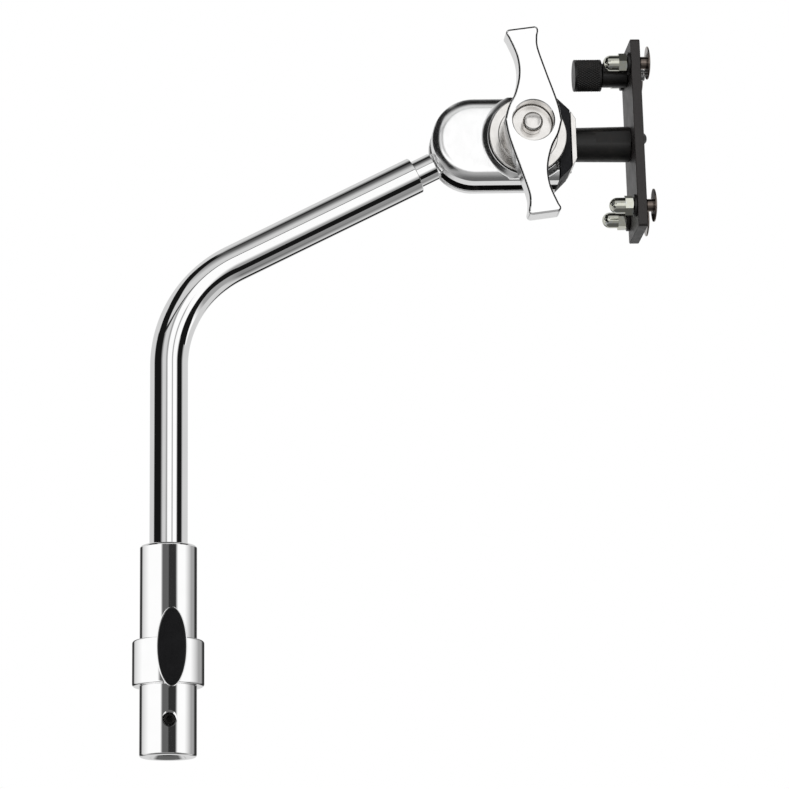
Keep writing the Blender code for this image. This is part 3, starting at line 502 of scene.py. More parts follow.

# %% [markdown]
# ### Satin black paint
#
# The lamp plate is mild steel with a baked satin enamel. Sprayed paint dries with orange peel:
# soft bumps near half a millimetre across. It is never quite black. Along handled edges the real
# plate is rubbed a little lighter; here the tone only varies in broad patches.

# %% Satin black paint
paint, tree, shader, here = start_finish("satin_black_enamel", 0.0, 0.44)
shader.inputs["IOR"].default_value = 1.52
peel = add(tree, "TexNoise", {"Vector": here, "Scale": per_metre(0.7), "Detail": 2})
dust = add(tree, "TexNoise", {"Vector": here, "Scale": per_metre(6), "Detail": 6,
                              "Roughness": 0.65})
tint = add(tree, "MixRGB", {"Fac": dust.outputs["Fac"], "Color1": colour("#1d1a1a"),
                            "Color2": colour("#2c2827")})
orange = add(tree, "Bump", {"Height": peel.outputs["Fac"], "Strength": 0.8, "Distance": 0.03 * MM})
dress(tree, shader, tint, dust, (0.38, 0.5), orange)
print("made", paint.name)

# %% [markdown]
# ### Deep black paint on the end block
#
# The block between head and plate has a thicker, flatter coat than the plate. It is nearly black
# and slightly blue, with pale specks where dust settled in the wet paint.

# %% Deep black paint
deep, tree, shader, here = start_finish("flat_black_enamel", 0.0, 0.5)
shader.inputs["IOR"].default_value = 1.5
shader.inputs["Specular IOR Level"].default_value = 0.25
specks = add(tree, "TexNoise", {"Vector": here, "Scale": per_metre(0.5), "Detail": 3})
coat = add(tree, "TexNoise", {"Vector": here, "Scale": per_metre(4), "Detail": 4})
tint = add(tree, "ValToRGB", {"Fac": specks.outputs["Fac"]}, [
    (0.4, colour("#121215")), (0.62, colour("#191a1f")), (0.74, colour("#43454d"))])
pebbled = add(tree, "Bump", {"Height": specks.outputs["Fac"], "Strength": 0.8,
                             "Distance": 0.03 * MM})
dress(tree, shader, tint, coat, (0.42, 0.56), pebbled)
print("made", deep.name)

# %% [markdown]
# ### Moulded black plastic
#
# The oval inlay on the collar is a bare plaque of black ABS, moulded with an even matte grain.

# %% Moulded plastic
plaque, tree, shader, here = start_finish("moulded_black_abs", 0.0, 0.6)
shader.inputs["IOR"].default_value = 1.53
shader.inputs["Specular IOR Level"].default_value = 0.18
grain = add(tree, "TexNoise", {"Vector": here, "Scale": per_metre(0.35), "Detail": 3})
wiped = add(tree, "TexNoise", {"Vector": here, "Scale": per_metre(5), "Detail": 3})
tint = add(tree, "MixRGB", {"Fac": wiped.outputs["Fac"], "Color1": colour("#141415"),
                            "Color2": colour("#1c1c1e")})
matte = add(tree, "Bump", {"Height": grain.outputs["Fac"], "Strength": 0.8, "Distance": 0.02 * MM})
dress(tree, shader, tint, wiped, (0.52, 0.68), matte)
print("made", plaque.name)

# %% [markdown]
# ### Bare machined steel
#
# Bolt, nut, pivot and plunger nose are bare steel, ground or turned and kept oiled. It is darker
# than any plate, with fine scratches in all directions.

# %% Machined steel
steel, tree, shader, here = start_finish("machined_steel", 1.0, 0.3)
scratched = add(tree, "TexNoise", {"Vector": here, "Scale": per_metre(0.6), "Detail": 5,
                                   "Distortion": 1.2})
oily = add(tree, "TexNoise", {"Vector": here, "Scale": per_metre(4), "Detail": 3})
tint = add(tree, "MixRGB", {"Fac": oily.outputs["Fac"], "Color1": colour("#b4b5b6"),
                            "Color2": colour("#8e8c89")})
ground = add(tree, "Bump", {"Height": scratched.outputs["Fac"], "Strength": 0.7,
                            "Distance": 0.006 * MM})
dress(tree, shader, tint, oily, (0.2, 0.36), ground)
print("made", steel.name)

# %% [markdown]
# ## The junior pin
#
# On the real bracket this is one bar of steel, 28.6 mm thick, turned with a collar that rests on
# the stand. A 16 mm receiver is bored up from below, and the tube is brazed into a socket at the
# top. One turned profile makes all of that. The raised oval boss and the cross hole of the grub
# screw aren't round about the pin's axis, so they are joined and cut afterwards.

# %% Turn the pin
GAP = 0.3  # room between two pieces that touch
PIN_D = 28.575
PIN_FOOT = 35.0
PIN_TOP = 70.6
COLLAR_D = 35.8
COLLAR_H = 22.8
RECEIVER_D = 16.1
RECEIVER_TOP = 25.0
SOCKET_FLOOR = 40.0
socket_r = TUBE_D / 2 + GAP
profile = [
    (0, RECEIVER_TOP),
    (RECEIVER_D / 2, RECEIVER_TOP),
    (RECEIVER_D / 2, 1.8 - PIN_FOOT),
    (RECEIVER_D / 2 + 1.8, -PIN_FOOT, 0.2),
    (PIN_D / 2, -PIN_FOOT, 1.3),
    (PIN_D / 2, 0, 0.4),
    (COLLAR_D / 2, 0, 1.3),
    (COLLAR_D / 2, COLLAR_H, 1.3),
    (PIN_D / 2, COLLAR_H, 0.5),
    (PIN_D / 2, PIN_TOP, 1.3),
    (socket_r + 0.4, PIN_TOP),
    (socket_r, PIN_TOP - 0.4),
    (socket_r, SOCKET_FLOOR),
    (0, SOCKET_FLOOR),
]
pin = solid("pin_and_collar", turned(rounded(profile), facing_up, sides=LARGE))
print("pin profile points:", len(rounded(profile)))

# %% Join the oval boss, sink its well, and drill the grub screw's hole
INLAY_W = 13.4
INLAY_H = 37.6
INLAY_T = 0.7
BOSS_RIM = 0.95
BOSS_ROOT = 12.1  # inside the collar, so that the oval grows out of it
BOSS_EDGE = 0.5
BOSS_FACE = COLLAR_D / 2 + 0.3
INLAY = spin(5.0, "Z") @ shift(0, 0, 17.6)
GRUB = spin(2.4, "Z") @ shift(0, 0, -17.5)
oval = ellipse(INLAY_W / 2 + BOSS_RIM, INLAY_H / 2 + BOSS_RIM, MEDIUM)
rings = [stand(oval, facing_front, BOSS_ROOT)]
for out, height in arc(0, BOSS_FACE - BOSS_EDGE, BOSS_EDGE, 0, 90, 4):
    rings.append(stand(inset(oval, BOSS_EDGE - out), facing_front, height))
fuse(pin, skin(rings), INLAY)
well_floor = BOSS_FACE - INLAY_T - 2 * GAP
well = ellipse(INLAY_W / 2 + GAP, INLAY_H / 2 + GAP, MEDIUM)
cut(pin, slab(well, well_floor, BOSS_FACE + 2, facing_front), INLAY)
GRUB_HOLE_R = 3.1
SINK = 1.05  # the hole's edge opens by this, at 45 degrees
hole = [(0, 4), (GRUB_HOLE_R, 4), (GRUB_HOLE_R, PIN_D / 2 - SINK), (GRUB_HOLE_R + SINK, PIN_D / 2),
        (GRUB_HOLE_R + SINK + 2, PIN_D / 2 + 2), (0, PIN_D / 2 + 2)]
cut(pin, turned(hole, facing_front, sides=SMALL), GRUB)
hang(pin, "arm", "chrome", chrome, "junior_pin")

# %% [markdown]
# ## Inlay and grub screw
#
# The oval inlay is left bare. It sits in its well with a hair of space round it, which is what
# draws the thin dark line in the photograph. The grub screw is a short black bar with a hexagon
# socket, sunk below the pin's surface.

# %% Inlay and grub screw
seat = ellipse(INLAY_W / 2, INLAY_H / 2, MEDIUM)
seat_floor = well_floor + GAP
inlay = solid("oval_inlay", slab(seat, seat_floor, seat_floor + INLAY_T, facing_front, 0.2), INLAY)
hang(inlay, "arm", "inlay_black", plaque, "pin_inlay")

grub_top = PIN_D / 2 - 1.6
grub_bar = rod(GRUB_HOLE_R * 2 - 2 * GAP, RECEIVER_D / 2 + GAP, grub_top, facing_front, edge=0.5)
grub = solid("grub_screw", grub_bar, GRUB)
cut(grub, slab(hexagon(3.0), grub_top - 2, grub_top + 2, facing_front))
hang(grub, "arm", "black_oxide", oxide, "receiver_grub_screw")

# %% [markdown]
# ## The bent tube
#
# The arm is round tube, drawn cold round a former. A curve object with a bevel could make it, but
# its own rings let the wall be hollow and the ends be cut square. The bend's centreline is an arc
# of 60 mm, 64 steps of it, so the chrome highlights run round it without corners.

# %% Bend the tube
TURN = math.pi / 2 - ARM_RISE
TUBE_FOOT = SOCKET_FLOOR + GAP
TUBE_BORE = 14.85
TUBE_EDGE = 0.5
BEND_STEPS = 64
LOWER_LEG = BEND_Z - BEND_R * math.tan(TURN / 2) - TUBE_FOOT
BEND_L = BEND_R * TURN
TUBE_L = LOWER_LEG + BEND_L + UPPER_LEG - BEND_R * math.tan(TURN / 2)


def tube_ring(run, radius):
    """A ring of the tube at a length from its foot."""
    lean = min(max(run - LOWER_LEG, 0) / BEND_R, TURN)
    past = max(run - LOWER_LEG - BEND_L, 0)
    x = BEND_R * (1 - math.cos(lean)) + past * math.sin(lean)
    z = TUBE_FOOT + min(run, LOWER_LEG) + BEND_R * math.sin(lean) + past * math.cos(lean)
    along = Vector((math.cos(lean), 0, -math.sin(lean)))
    return [Vector((x, v, z)) + along * u for u, v in circle(radius, 144)]


bend = [LOWER_LEG + BEND_L * i / BEND_STEPS for i in range(BEND_STEPS + 1)]
r = TUBE_D / 2
edge = arc(0, 0, TUBE_EDGE, 0, 90, 4)
outside = [(TUBE_EDGE - u, r - TUBE_EDGE + v) for u, v in edge]
outside += [(run, r) for run in bend]
outside += [(TUBE_L - TUBE_EDGE + v, r - TUBE_EDGE + u) for u, v in edge]
stations = outside + [(run, TUBE_BORE / 2) for run in [TUBE_L, *bend[::-1], 0]]
tube = solid("bent_tube", skin([tube_ring(run, radius) for run, radius in stations], loop=True))
hang(tube, "arm", "chrome", chrome, "arm_tube")
print("tube length along its centre, mm:", round(TUBE_L, 1))

# %% [markdown]
# ## The spigot
#
# A solid chromed rod is fixed in the tube's end. Outside the head it is milled down to a flat
# tongue that swings between the two halves. The rod is turned, the tongue is a rounded slab, and
# the two are joined.

# %% Spigot and tongue
SEAM = 10.5
TONGUE_T = 7.5
TONGUE_R = 17.0
SPIGOT_D = TUBE_BORE - 2 * GAP
PIVOT_HOLE = 10.6
root = SHOULDER + SPIGOT_SHOW + 30  # 30 mm of it are inside the tube
bar = rod(SPIGOT_D, -root, -SHOULDER, facing_plate, edge=0.5, sides=ROUND)
spigot = solid("spigot", bar, ARM_TIP)
neck = math.sqrt((SPIGOT_D / 2) ** 2 - (TONGUE_T / 2) ** 2) - GAP
lean = math.degrees(math.asin(neck / TONGUE_R))
outline = arc(0, 0, TONGUE_R, lean - 180, 180 - lean, MEDIUM)
outline += [(-SHOULDER - 2, neck), (-SHOULDER - 2, -neck)]
fuse(spigot, slab(outline, -TONGUE_T / 2, TONGUE_T / 2, facing_front, 0.5))
cut(spigot, rod(PIVOT_HOLE, -TONGUE_T, TONGUE_T, facing_front))
hang(spigot, "arm", "chrome", chrome, "arm_spigot")

# %% [markdown]
# ## The two halves of the head
#
# Each half is a casting: a half circle about the pivot, straight on to an open end, with a large
# round edge. A belt sander never leaves such an edge a true quarter round: the face starts to fall
# almost ten millimetres in, slowly at first. A bevel would show a crease there, so the edge is
# given as a table of slopes, and each height follows from those before it. That slow fall is what
# makes the grey run softly into white in the photograph. The front half also has the round boss
# that the clamp presses on.

# %% Rings of a half
FRONT_DEPTH = 11.75
BACK_DEPTH = 8.0
FRONT_FACE = SEAM / 2 + FRONT_DEPTH
BACK_FACE = SEAM / 2 + BACK_DEPTH
# Each place in mm from the rim, and the slope there in degrees.
SLOPES = [(0, 90), (0.08, 70), (0.25, 50), (0.5, 46), (1.6, 40), (2.7, 33), (3.2, 28), (3.6, 23),
          (4.2, 16), (4.9, 10), (5.5, 6), (5.8, 3), (7.0, 1.2), (9.6, 0)]
SEAM_EDGE = 0.5
JOURNAL_D = 14.0  # of the stub, inside the head
FLANGE_OUT = 1.0  # how far the journal's flange stands out
FLANGE_FAR = 7.1  # the flange's two faces, from the head's open end
FLANGE_NEAR = 4.1
JOURNAL_BORE = JOURNAL_D + 2 * GAP


def half_outline(depth):
    """Side view of the housing, moved inwards by a depth, but not at its open end."""
    radius = HOUSING_R - depth
    return [(HEAD_L, radius)] + arc(0, 0, radius, 90, 270, MEDIUM) + [(HEAD_L, -radius)]


def worn_edge(scale):
    """How far the face has fallen at each distance from the rim, from the middle outwards."""
    fallen = [(SLOPES[-1][0] * scale, 0.0)]
    for (place, slope), (next_place, next_slope) in zip(SLOPES[-2::-1], SLOPES[:0:-1]):
        for i in range(1, 5):
            here = place + (next_place - place) * (1 - i / 4)
            middle = slope + (next_slope - slope) * (1 - (i - 0.5) / 4)
            step = (next_place - place) / 4 * scale
            fallen.append((here * scale, fallen[-1][1] + step * math.tan(math.radians(middle))))
    return fallen


def half_solid(depth, scale, side):
    """One half, from the seam to the outer face. side is 1 for the front and -1 for the back."""
    levels = [(SEAM_EDGE - u, SEAM_EDGE - v) for u, v in arc(0, 0, SEAM_EDGE, 90, 0, 3)]
    levels += [(place, depth - fall) for place, fall in worn_edge(scale)[::-1]]
    return skin([stand(half_outline(inward), facing_front, side * (SEAM / 2 + height))
                 for inward, height in levels])


def paint_seam_shade(half):
    """The seam faces get black oxide as painted shade, so that no light comes out of the gap."""
    half.data.materials.append(oxide)
    for face in half.data.polygons:
        if abs(face.center.y) < (SEAM / 2 + 0.01) * MM:
            face.material_index = 1


def cut_journal_seat(half):
    """The groove along the open end that grips the stub's journal and holds its flange."""
    clear = JOURNAL_D / 2 + GAP
    wide = clear + FLANGE_OUT
    start = HEAD_L - FLANGE_FAR - GAP
    stop = HEAD_L - FLANGE_NEAR + GAP
    tool = [(0, start), (wide, start), (wide, stop), (clear, stop), (clear, HEAD_L + 2),
            (0, HEAD_L + 2)]
    cut(half, turned(tool, facing_plate, (0, STUB_RISE), sides=MEDIUM))


# %% Front half with its boss, whose skirt slopes out into the face
BOSS_R = 21.4
BOSS_FOOT_R = 23.4
BOSS_TOP = FRONT_FACE + 2.0
BOLT_D = 8.0
BOLT_HOLE = BOLT_D + 2 * GAP
print("the rim lies", round(worn_edge(1)[-1][1], 2), "mm below the face")
front_half = solid("head_front_half", half_solid(FRONT_DEPTH, 1, 1), HEAD)
reach = math.degrees(math.acos((HEAD_L - BOLT_X) / BOSS_FOOT_R))
skirt = [(0, -5.5), (0, 0), (0.5, 0.15), (1.2, 0.55), (2.0, 1.12), (2.8, 1.7), (3.05, 1.87),
         (3.35, 2.0)]  # mm in from the boss's foot, mm off the face
rings = []
for depth, height in skirt:
    outline = []
    for u, v in arc(BOLT_X, 0, BOSS_FOOT_R - depth, reach, 360 - reach, 120):
        outline.append((min(u, HEAD_L), max(-BOSS_R, min(BOSS_R, v))))
    rings.append(stand(outline, facing_front, FRONT_FACE + height))
fuse(front_half, skin(rings))
cut(front_half, rod(PIVOT_HOLE, 0, SEAM / 2 + 7, facing_front))
cut(front_half, rod(BOLT_HOLE, 0, BOSS_TOP + 2, facing_front, (BOLT_X, 0)))
cut_journal_seat(front_half)
hang(front_half, "head", "polished_casting", casting, "housing_front")
paint_seam_shade(front_half)

# %% Back half with the nut's pocket
NUT_AF = 13.0
NUT_T = 4.4
END_SCREW_HOLE = 3.6
END_SCREW_Y = 8.95
END_SCREW_Z = {"upper": 9.0, "lower": -9.0}
back_half = solid("head_back_half", half_solid(BACK_DEPTH, 0.93, -1), HEAD)
cut(back_half, rod(PIVOT_HOLE, -SEAM / 2 - 5, 0, facing_front))
cut(back_half, rod(BOLT_HOLE, -BACK_FACE, 0, facing_front, (BOLT_X, 0)))
pocket = moved(hexagon(NUT_AF + 2 * GAP), BOLT_X, 0)
cut(back_half, slab(pocket, -BACK_FACE - 2, GAP * 2 + NUT_T - BACK_FACE, facing_front))
cut_journal_seat(back_half)
for z in END_SCREW_Z.values():
    cut(back_half, rod(END_SCREW_HOLE, HEAD_L - 6.3, HEAD_L + 2, facing_plate, (END_SCREW_Y, z)))
hang(back_half, "head", "polished_casting", casting, "housing_back")
paint_seam_shade(back_half)

# %% [markdown]
# ## Nut and bolt in the head
#
# From behind, a low hexagon nut shows in its pocket, with the end of the clamp bolt inside it. A
# real nut's corners are turned off at 30 degrees: the hexagon is trimmed by a turned shape.

# %% Nut with its corners turned off


def trimmed_hexagon(across, low, high, sink=0.35):
    """A hexagon bar whose corners are turned off at both ends, facing along its own axis."""
    corner = across / 2 / math.cos(math.pi / 6) + 0.01
    return [(0, low), (across / 2 - 0.1, low), (corner, low + sink + 0.1),
            (corner, high - sink - 0.1), (across / 2 - 0.1, high), (0, high)]


low = GAP - BACK_FACE
nut = solid("clamp_nut", slab(hexagon(NUT_AF), low, low + NUT_T, facing_front), BOLT)
combine(nut, turned(trimmed_hexagon(NUT_AF, low, low + NUT_T), facing_front), "INTERSECT")
cut(nut, rod(BOLT_HOLE, low - 2, low + NUT_T + 2, facing_front))
hang(nut, "head", "steel", steel, "back_nut")

# %% [markdown]
# ## End block and end plate
#
# A black painted block closes the open end of both halves, with a thin chromed plate over it. Both
# taper at 45 degrees from the housing's corners. They are extruded side views, and the key that
# fills the seam is joined on.

# %% Block


def slope_outline(low, high, draw=0.0, corner=0.6):
    """Side view of a piece whose ends slope inwards from the housing's corners."""
    start = HOUSING_R - low
    end = HOUSING_R - high - draw
    return rounded([(low, -start, 0.2), (high, -end, corner), (high, end, corner),
                    (low, start, 0.2)], 4)


BLOCK_T = 6.4
BLOCK_FRONT = 15.5
BLOCK_BACK = 12.0
KEY_IN = 3.6  # how far the key reaches into the seam
KEY_HALF = 20.0
block = solid("end_block_body", slab(slope_outline(GAP, GAP + BLOCK_T), -BLOCK_BACK, BLOCK_FRONT,
                                     facing_front, 0.5), END)
key = [(-KEY_IN, -KEY_HALF), (GAP + 2, -KEY_HALF), (GAP + 2, KEY_HALF), (-KEY_IN, KEY_HALF)]
fuse(block, slab(key, GAP - SEAM / 2, SEAM / 2 - GAP, facing_front))
cut(block, rod(JOURNAL_BORE, -6, 9, facing_plate, (0, STUB_RISE), sides=MEDIUM))
for z in END_SCREW_Z.values():
    cut(block, rod(END_SCREW_HOLE, -2, 9, facing_plate, (END_SCREW_Y, z)))
hang(block, "head", "black_paint", deep, "end_block")

# %% Plate and its countersunk screws
CAP_X = BLOCK_T + 2 * GAP
CAP_T = 2.6
STUB_X = CAP_X + CAP_T + GAP
cap_side = slope_outline(CAP_X, CAP_X + CAP_T, 1.7, 0.4)
cap = solid("end_plate_body", slab(cap_side, 0.3 - BLOCK_BACK, BLOCK_FRONT - 0.3, facing_front,
                                   0.25), END)
cut(cap, rod(JOURNAL_BORE, CAP_X - 2, STUB_X + 2, facing_plate, (0, STUB_RISE), sides=MEDIUM))
face = CAP_X + CAP_T
for name, z in END_SCREW_Z.items():
    sink = [(0, 0), (1.8, 0), (1.8, face - 1.8), (3.2, face - GAP), (3.2, face + 2), (0, face + 2)]
    cut(cap, turned(sink, facing_plate, (END_SCREW_Y, z), sides=SMALL))
    body = [(0, -6), (1.5, -6), (1.5, face - 1.5), (2.9, face - GAP, 0.1), (0, face - GAP)]
    screw = solid(f"{name}_end_screw", turned(rounded(body, 2), facing_plate, sides=SMALL),
                  END @ shift(0, END_SCREW_Y, z))
    cut(screw, slab(hexagon(2.0), face - 1.5, face + 1, facing_plate))
    hang(screw, "head", "steel", steel, f"end_screw_{name}")
hang(cap, "head", "chrome", faced_and_recess_shade, "end_plate")

# %% [markdown]
# ## Washer and disc under the handle
#
# A black washer and a stepped chromed disc carry the handle's pressure to the boss. Both are
# turned, and their thin edges are broken by a few tenths of a millimetre.

# %% Washer and disc
DISC_R = 19.8
STEP_R = 15.2
WASHER_R = 20.2
DISC_SEAT = BOSS_TOP + 1.2
washer_low = BOSS_TOP + GAP
thin = ring(BOLT_HOLE / 2, WASHER_R, washer_low, washer_low + 0.6, facing_front)
washer = solid("clamp_washer_ring", thin, BOLT)
hang(washer, "clamp", "black_oxide", oxide, "clamp_washer")
profile = [
    (BOLT_HOLE / 2, DISC_SEAT, 0.2),
    (DISC_R, DISC_SEAT, 0.4),
    (DISC_R, DISC_SEAT + 2.4, 0.5),
    (STEP_R, DISC_SEAT + 2.4, 0.2),
    (STEP_R, DISC_SEAT + 3.2, 0.4),
    (BOLT_HOLE / 2, DISC_SEAT + 3.2, 0.2),
]
disc = solid("clamp_disc_body", turned(rounded(profile), facing_front, bored=True, sides=LARGE),
             BOLT)
hang(disc, "clamp", "chrome", faced_and_recess_shade, "clamp_disc")

# %% [markdown]
# ## The T-handle
#
# The handle is cast in an S: each arm is straight on one side and hollowed on the other, so that
# fingers and palm both fit. Its outline is a smooth curve through a few measured points. One arm is
# drawn, and the other is the same arm turned half round. The edge rounding, the neck with its
# cast fillet, and the round recess for the screw follow.

# %% Outline of the handle
HUB_R = 14.5
HANDLE_REACH = 49.6
HANDLE_SEAT = DISC_SEAT + 3.5
ARMS_BACK = HANDLE_SEAT + 12.7
HANDLE_FACE = ARMS_BACK + 12.5
RECESS_FLOOR = HANDLE_FACE - 9.0
RECESS_R = 10.4
NECK_R = 9.0


def curved(points, count):
    """A smooth curve through the points, less the last one. Slopes follow the neighbours."""
    ends = [points[0]] + points + [points[-1]]
    out = []
    for before, start, end, after in zip(ends, ends[1:], ends[2:], ends[3:]):
        handles = [Vector(p) for p in (before, start, end, after)]
        first = handles[1] + (handles[2] - handles[0]) / 6
        second = handles[2] - (handles[3] - handles[1]) / 6
        for step in range(count):
            t = step / count
            point = handles[1] * (1 - t) ** 3 + first * 3 * t * (1 - t) ** 2
            point += second * 3 * t**2 * (1 - t) + handles[2] * t**3
            out.append(tuple(point))
    return out


# Points as shares of the hub's radius and of the arm's reach.
full_side = [(1.0, 0), (0.869, 0.192), (0.51, 0.504), (0.234, 0.756), (0.2, 0.867), (0.235, 0.94)]
tip = [(0.24, 1.0), (-0.993, 0.948)]
hollow_side = [(-0.821, 0.871), (-0.55, 0.675), (-0.485, 0.484), (-0.631, 0.286), (-0.869, 0.141),
               (-1.0, 0)]
full_side, tip, hollow_side = [
    [(u * HUB_R, v * HANDLE_REACH) for u, v in points] for points in (full_side, tip, hollow_side)
]
end = rounded([full_side[-1], *[(u, v, 2.0) for u, v in tip], hollow_side[0]], 8)[:-1]
arm = curved(full_side, 10) + end + curved(hollow_side, 10)
outline = arm + [(-u, -v) for u, v in arm]
print("handle outline:", len(outline), "points, over", round(2 * HANDLE_REACH, 1), "mm")

# %% Arms, neck and recess
worn = [(0, 0.85), (0.12, 0.55), (0.85, 0.04), (1.15, 0)]  # mm in from the outline, mm off the face
levels = [(inward, ARMS_BACK + fall) for inward, fall in worn[::-1]]
levels += [(inward, HANDLE_FACE - fall) for inward, fall in worn]
rings = [stand(inset(outline, inward), facing_front, level) for inward, level in levels]
grip = solid("t_handle_casting", skin(rings), HANDLE)
stem = [(0, HANDLE_SEAT), (NECK_R, HANDLE_SEAT, 0.4), (NECK_R, ARMS_BACK, 1.6),
        (NECK_R + 3, ARMS_BACK), (NECK_R + 3, ARMS_BACK + 2), (0, ARMS_BACK + 2)]
fuse(grip, turned(rounded(stem), facing_front))
hollow = [(0, RECESS_FLOOR), (RECESS_R, RECESS_FLOOR, 0.8), (RECESS_R, HANDLE_FACE - 0.5),
          (RECESS_R + 0.5, HANDLE_FACE), (RECESS_R + 2.5, HANDLE_FACE + 2), (0, HANDLE_FACE + 2)]
cut(grip, turned(rounded(hollow), facing_front))
cut(grip, slab(hexagon(BOLT_HOLE), HANDLE_SEAT - 2, RECESS_FLOOR + 2, facing_front))
hang(grip, "handle", "satin_chrome", satin, "t_handle")
# The recess faces take the faced finish: a turned surface, and a darker tint that paints the
# recess's shade.
grip.data.materials.append(faced_and_recess_shade)
for face in grip.data.polygons:
    x, y, z = face.center / MM
    if RECESS_FLOOR - 0.1 < -y < HANDLE_FACE - 0.3 and math.hypot(x, z) < RECESS_R + 0.2:
        face.material_index = 1
painted_shade_faces = sum(face.material_index for face in grip.data.polygons)
print("recess faces with the faced finish:", painted_shade_faces)

# %% Clamp bolt and the round-headed screw in the recess
bolt_top = RECESS_FLOOR - 0.4
tip_low = 0.7 - BACK_FACE
bar = rod(BOLT_D, tip_low, bolt_top - 13.2, facing_front, edge=0.5)
bolt = solid("clamp_bolt_bar", bar, HANDLE)
fuse(bolt, slab(hexagon(BOLT_D), bolt_top - 13.5, bolt_top, facing_front))
cut(bolt, rod(5.6, RECESS_FLOOR - 10, bolt_top + 2, facing_front))
hang(bolt, "handle", "steel", steel, "clamp_bolt")
seat = RECESS_FLOOR + GAP
head = [(0, seat - 10), (2.5, seat - 10, 0.4), (2.5, seat), (5.15, seat, 0.2),
        (5.15, seat + 6.7, 1.9), (0, seat + 7)]
cap_screw = solid("handle_cap_screw", turned(rounded(head), facing_front, sides=MEDIUM), HANDLE)
hang(cap_screw, "handle", "satin_chrome", faced_and_recess_shade, "handle_screw")

# %% [markdown]
# ## Stub and plate
#
# The stub is a turned black bar: a journal with a flange inside the head, then a slightly tapered
# round with a long milled flat near the plate. The plate is 5 mm flat bar with rounded edges. Two
# button-head screws hold it on the stub.

# %% Stub
STUB_END = STUB_X + 28.8
PLATE_X = STUB_END + GAP
PLATE_FACE = PLATE_X + 5.0
PLATE_RISE = 1.4  # of the plate's middle over the stub's axis
BUTTON_Y = 5.2  # of the two button screws, to each side of the middle
BUTTON_HOLE = 4.6
STUB_R = 8.8  # at the head's end
FLAT_X = STUB_X + 10.6  # where the milled flat starts
profile = [
    (0, -FLANGE_FAR),
    (JOURNAL_D / 2 + FLANGE_OUT, -FLANGE_FAR, 0.3),
    (JOURNAL_D / 2 + FLANGE_OUT, -FLANGE_NEAR, 0.3),
    (JOURNAL_D / 2, -FLANGE_NEAR),
    (JOURNAL_D / 2, STUB_X),
    (STUB_R, STUB_X, 0.5),
    (9.2, STUB_END, 0.5),
    (0, STUB_END),
]
stub = solid("plate_stub", turned(rounded(profile), facing_plate), SWIVEL)
for y in (-BUTTON_Y, BUTTON_Y):
    cut(stub, rod(BUTTON_HOLE, STUB_END - 11.3, STUB_END + 2, facing_plate, (y, PLATE_RISE)))
flat_r = STUB_R - 0.27
milled = [(FLAT_X, -flat_r), (STUB_END + 2, -flat_r), (STUB_END + 2, flat_r), (FLAT_X, flat_r)]
cut(stub, slab(milled, flat_r, 2 * flat_r, facing_front), spin(-11.5, "X"))
hang(stub, "plate", "black_oxide", oxide, "mount_stub")

# %% Plate
STUD_Y = 14.25
STUD_REACH = 37.85
STUD_HOLE = 5.6
BUSH_HOLE = 9.8
stud_places = {
    "upper_front": (-STUD_Y, PLATE_RISE + STUD_REACH),
    "upper_back": (STUD_Y, PLATE_RISE + STUD_REACH),
    "lower_front": (-STUD_Y, PLATE_RISE - STUD_REACH),
    "lower_back": (STUD_Y, PLATE_RISE - STUD_REACH),
}
half_w = 18.6
half_h = 49.65
corners = [(half_w, half_h), (-half_w, half_h), (-half_w, -half_h), (half_w, -half_h)]
outline = moved(rounded([(y, z, 1.5) for y, z in corners]), 0, PLATE_RISE)
plate = solid("lamp_plate", slab(outline, PLATE_X, PLATE_FACE, facing_plate, 0.5), SWIVEL)
holes = [(BUTTON_HOLE, -BUTTON_Y, PLATE_RISE), (BUTTON_HOLE, BUTTON_Y, PLATE_RISE),
         (BUSH_HOLE, 0, PLUNGER_Z)]
for diameter, y, z in holes + [(STUD_HOLE, y, z) for y, z in stud_places.values()]:
    cut(plate, rod(diameter, PLATE_X - 2, PLATE_FACE + 2, facing_plate, (y, z)))
hang(plate, "plate", "black_paint", paint, "mounting_plate")

# %% Button-head screws
seat = PLATE_FACE + GAP
body = [(0, PLATE_FACE - 16), (2, PLATE_FACE - 16, 0.3), (2, seat), (3.5, seat, 0.2),
        (3.5, seat + 1.0, 0.3)]
body += arc(0, seat - 0.4, 3.4, 35, 68, 5)
top = body[-1][1]
body.append((0, top))
for name, y in (("front", -BUTTON_Y), ("back", BUTTON_Y)):
    button = solid(f"{name}_button_screw", turned(rounded(body, 4), facing_plate, sides=SMALL),
                   SWIVEL @ shift(0, y, PLATE_RISE))
    cut(button, slab(hexagon(2.5), seat + 1.5, seat + 5, facing_plate))
    hang(button, "plate", "black_oxide", oxide, f"plate_screw_{name}")
print("button heads stand", round(top - PLATE_FACE, 2), "mm off the plate")

# %% [markdown]
# ## Mushroom studs, washers and cap nuts
#
# Each stud is turned in one: a thin domed head, a short grip and a thread through the plate. On the
# inner side a black washer and a domed cap nut hold it. All four are the same set of pieces, made
# round their own axis and put at four places.

# %% Stud set
STUD_R = 2.5  # of the threaded end
STUD_IN = 13.5  # how far it reaches in
NUT_ACROSS = 9.0
DOME_R = 4.1
seat = PLATE_FACE + GAP
stud_back = PLATE_FACE + 3.5
profile = [(0, seat - STUD_IN), (STUD_R, seat - STUD_IN, 0.4), (STUD_R, seat), (3.25, seat, 0.2),
           (3.25, stud_back, 0.3), (8.5, stud_back, 0.25), (8.5, stud_back + 0.7, 0.25)]
crown = [(7.6, 0.98), (6.6, 1.24), (5.5, 1.44), (4.4, 1.56), (3.5, 1.6), (0, 1.6)]
profile += [(radius, stud_back + height) for radius, height in crown]
washer_high = PLATE_X - GAP
nut_high = washer_high - 1.6
nut_low = nut_high - 12.1
hex_low = nut_high - 4.2
dome = [(0, nut_low)] + arc(0, nut_low + DOME_R, DOME_R, -90, 0, 12)[1:]
dome += [(DOME_R, hex_low + 0.6), (0, hex_low + 0.6)]
NUT_TURN = {"upper_front": 4, "upper_back": 11, "lower_front": 30, "lower_back": -8}  # degrees
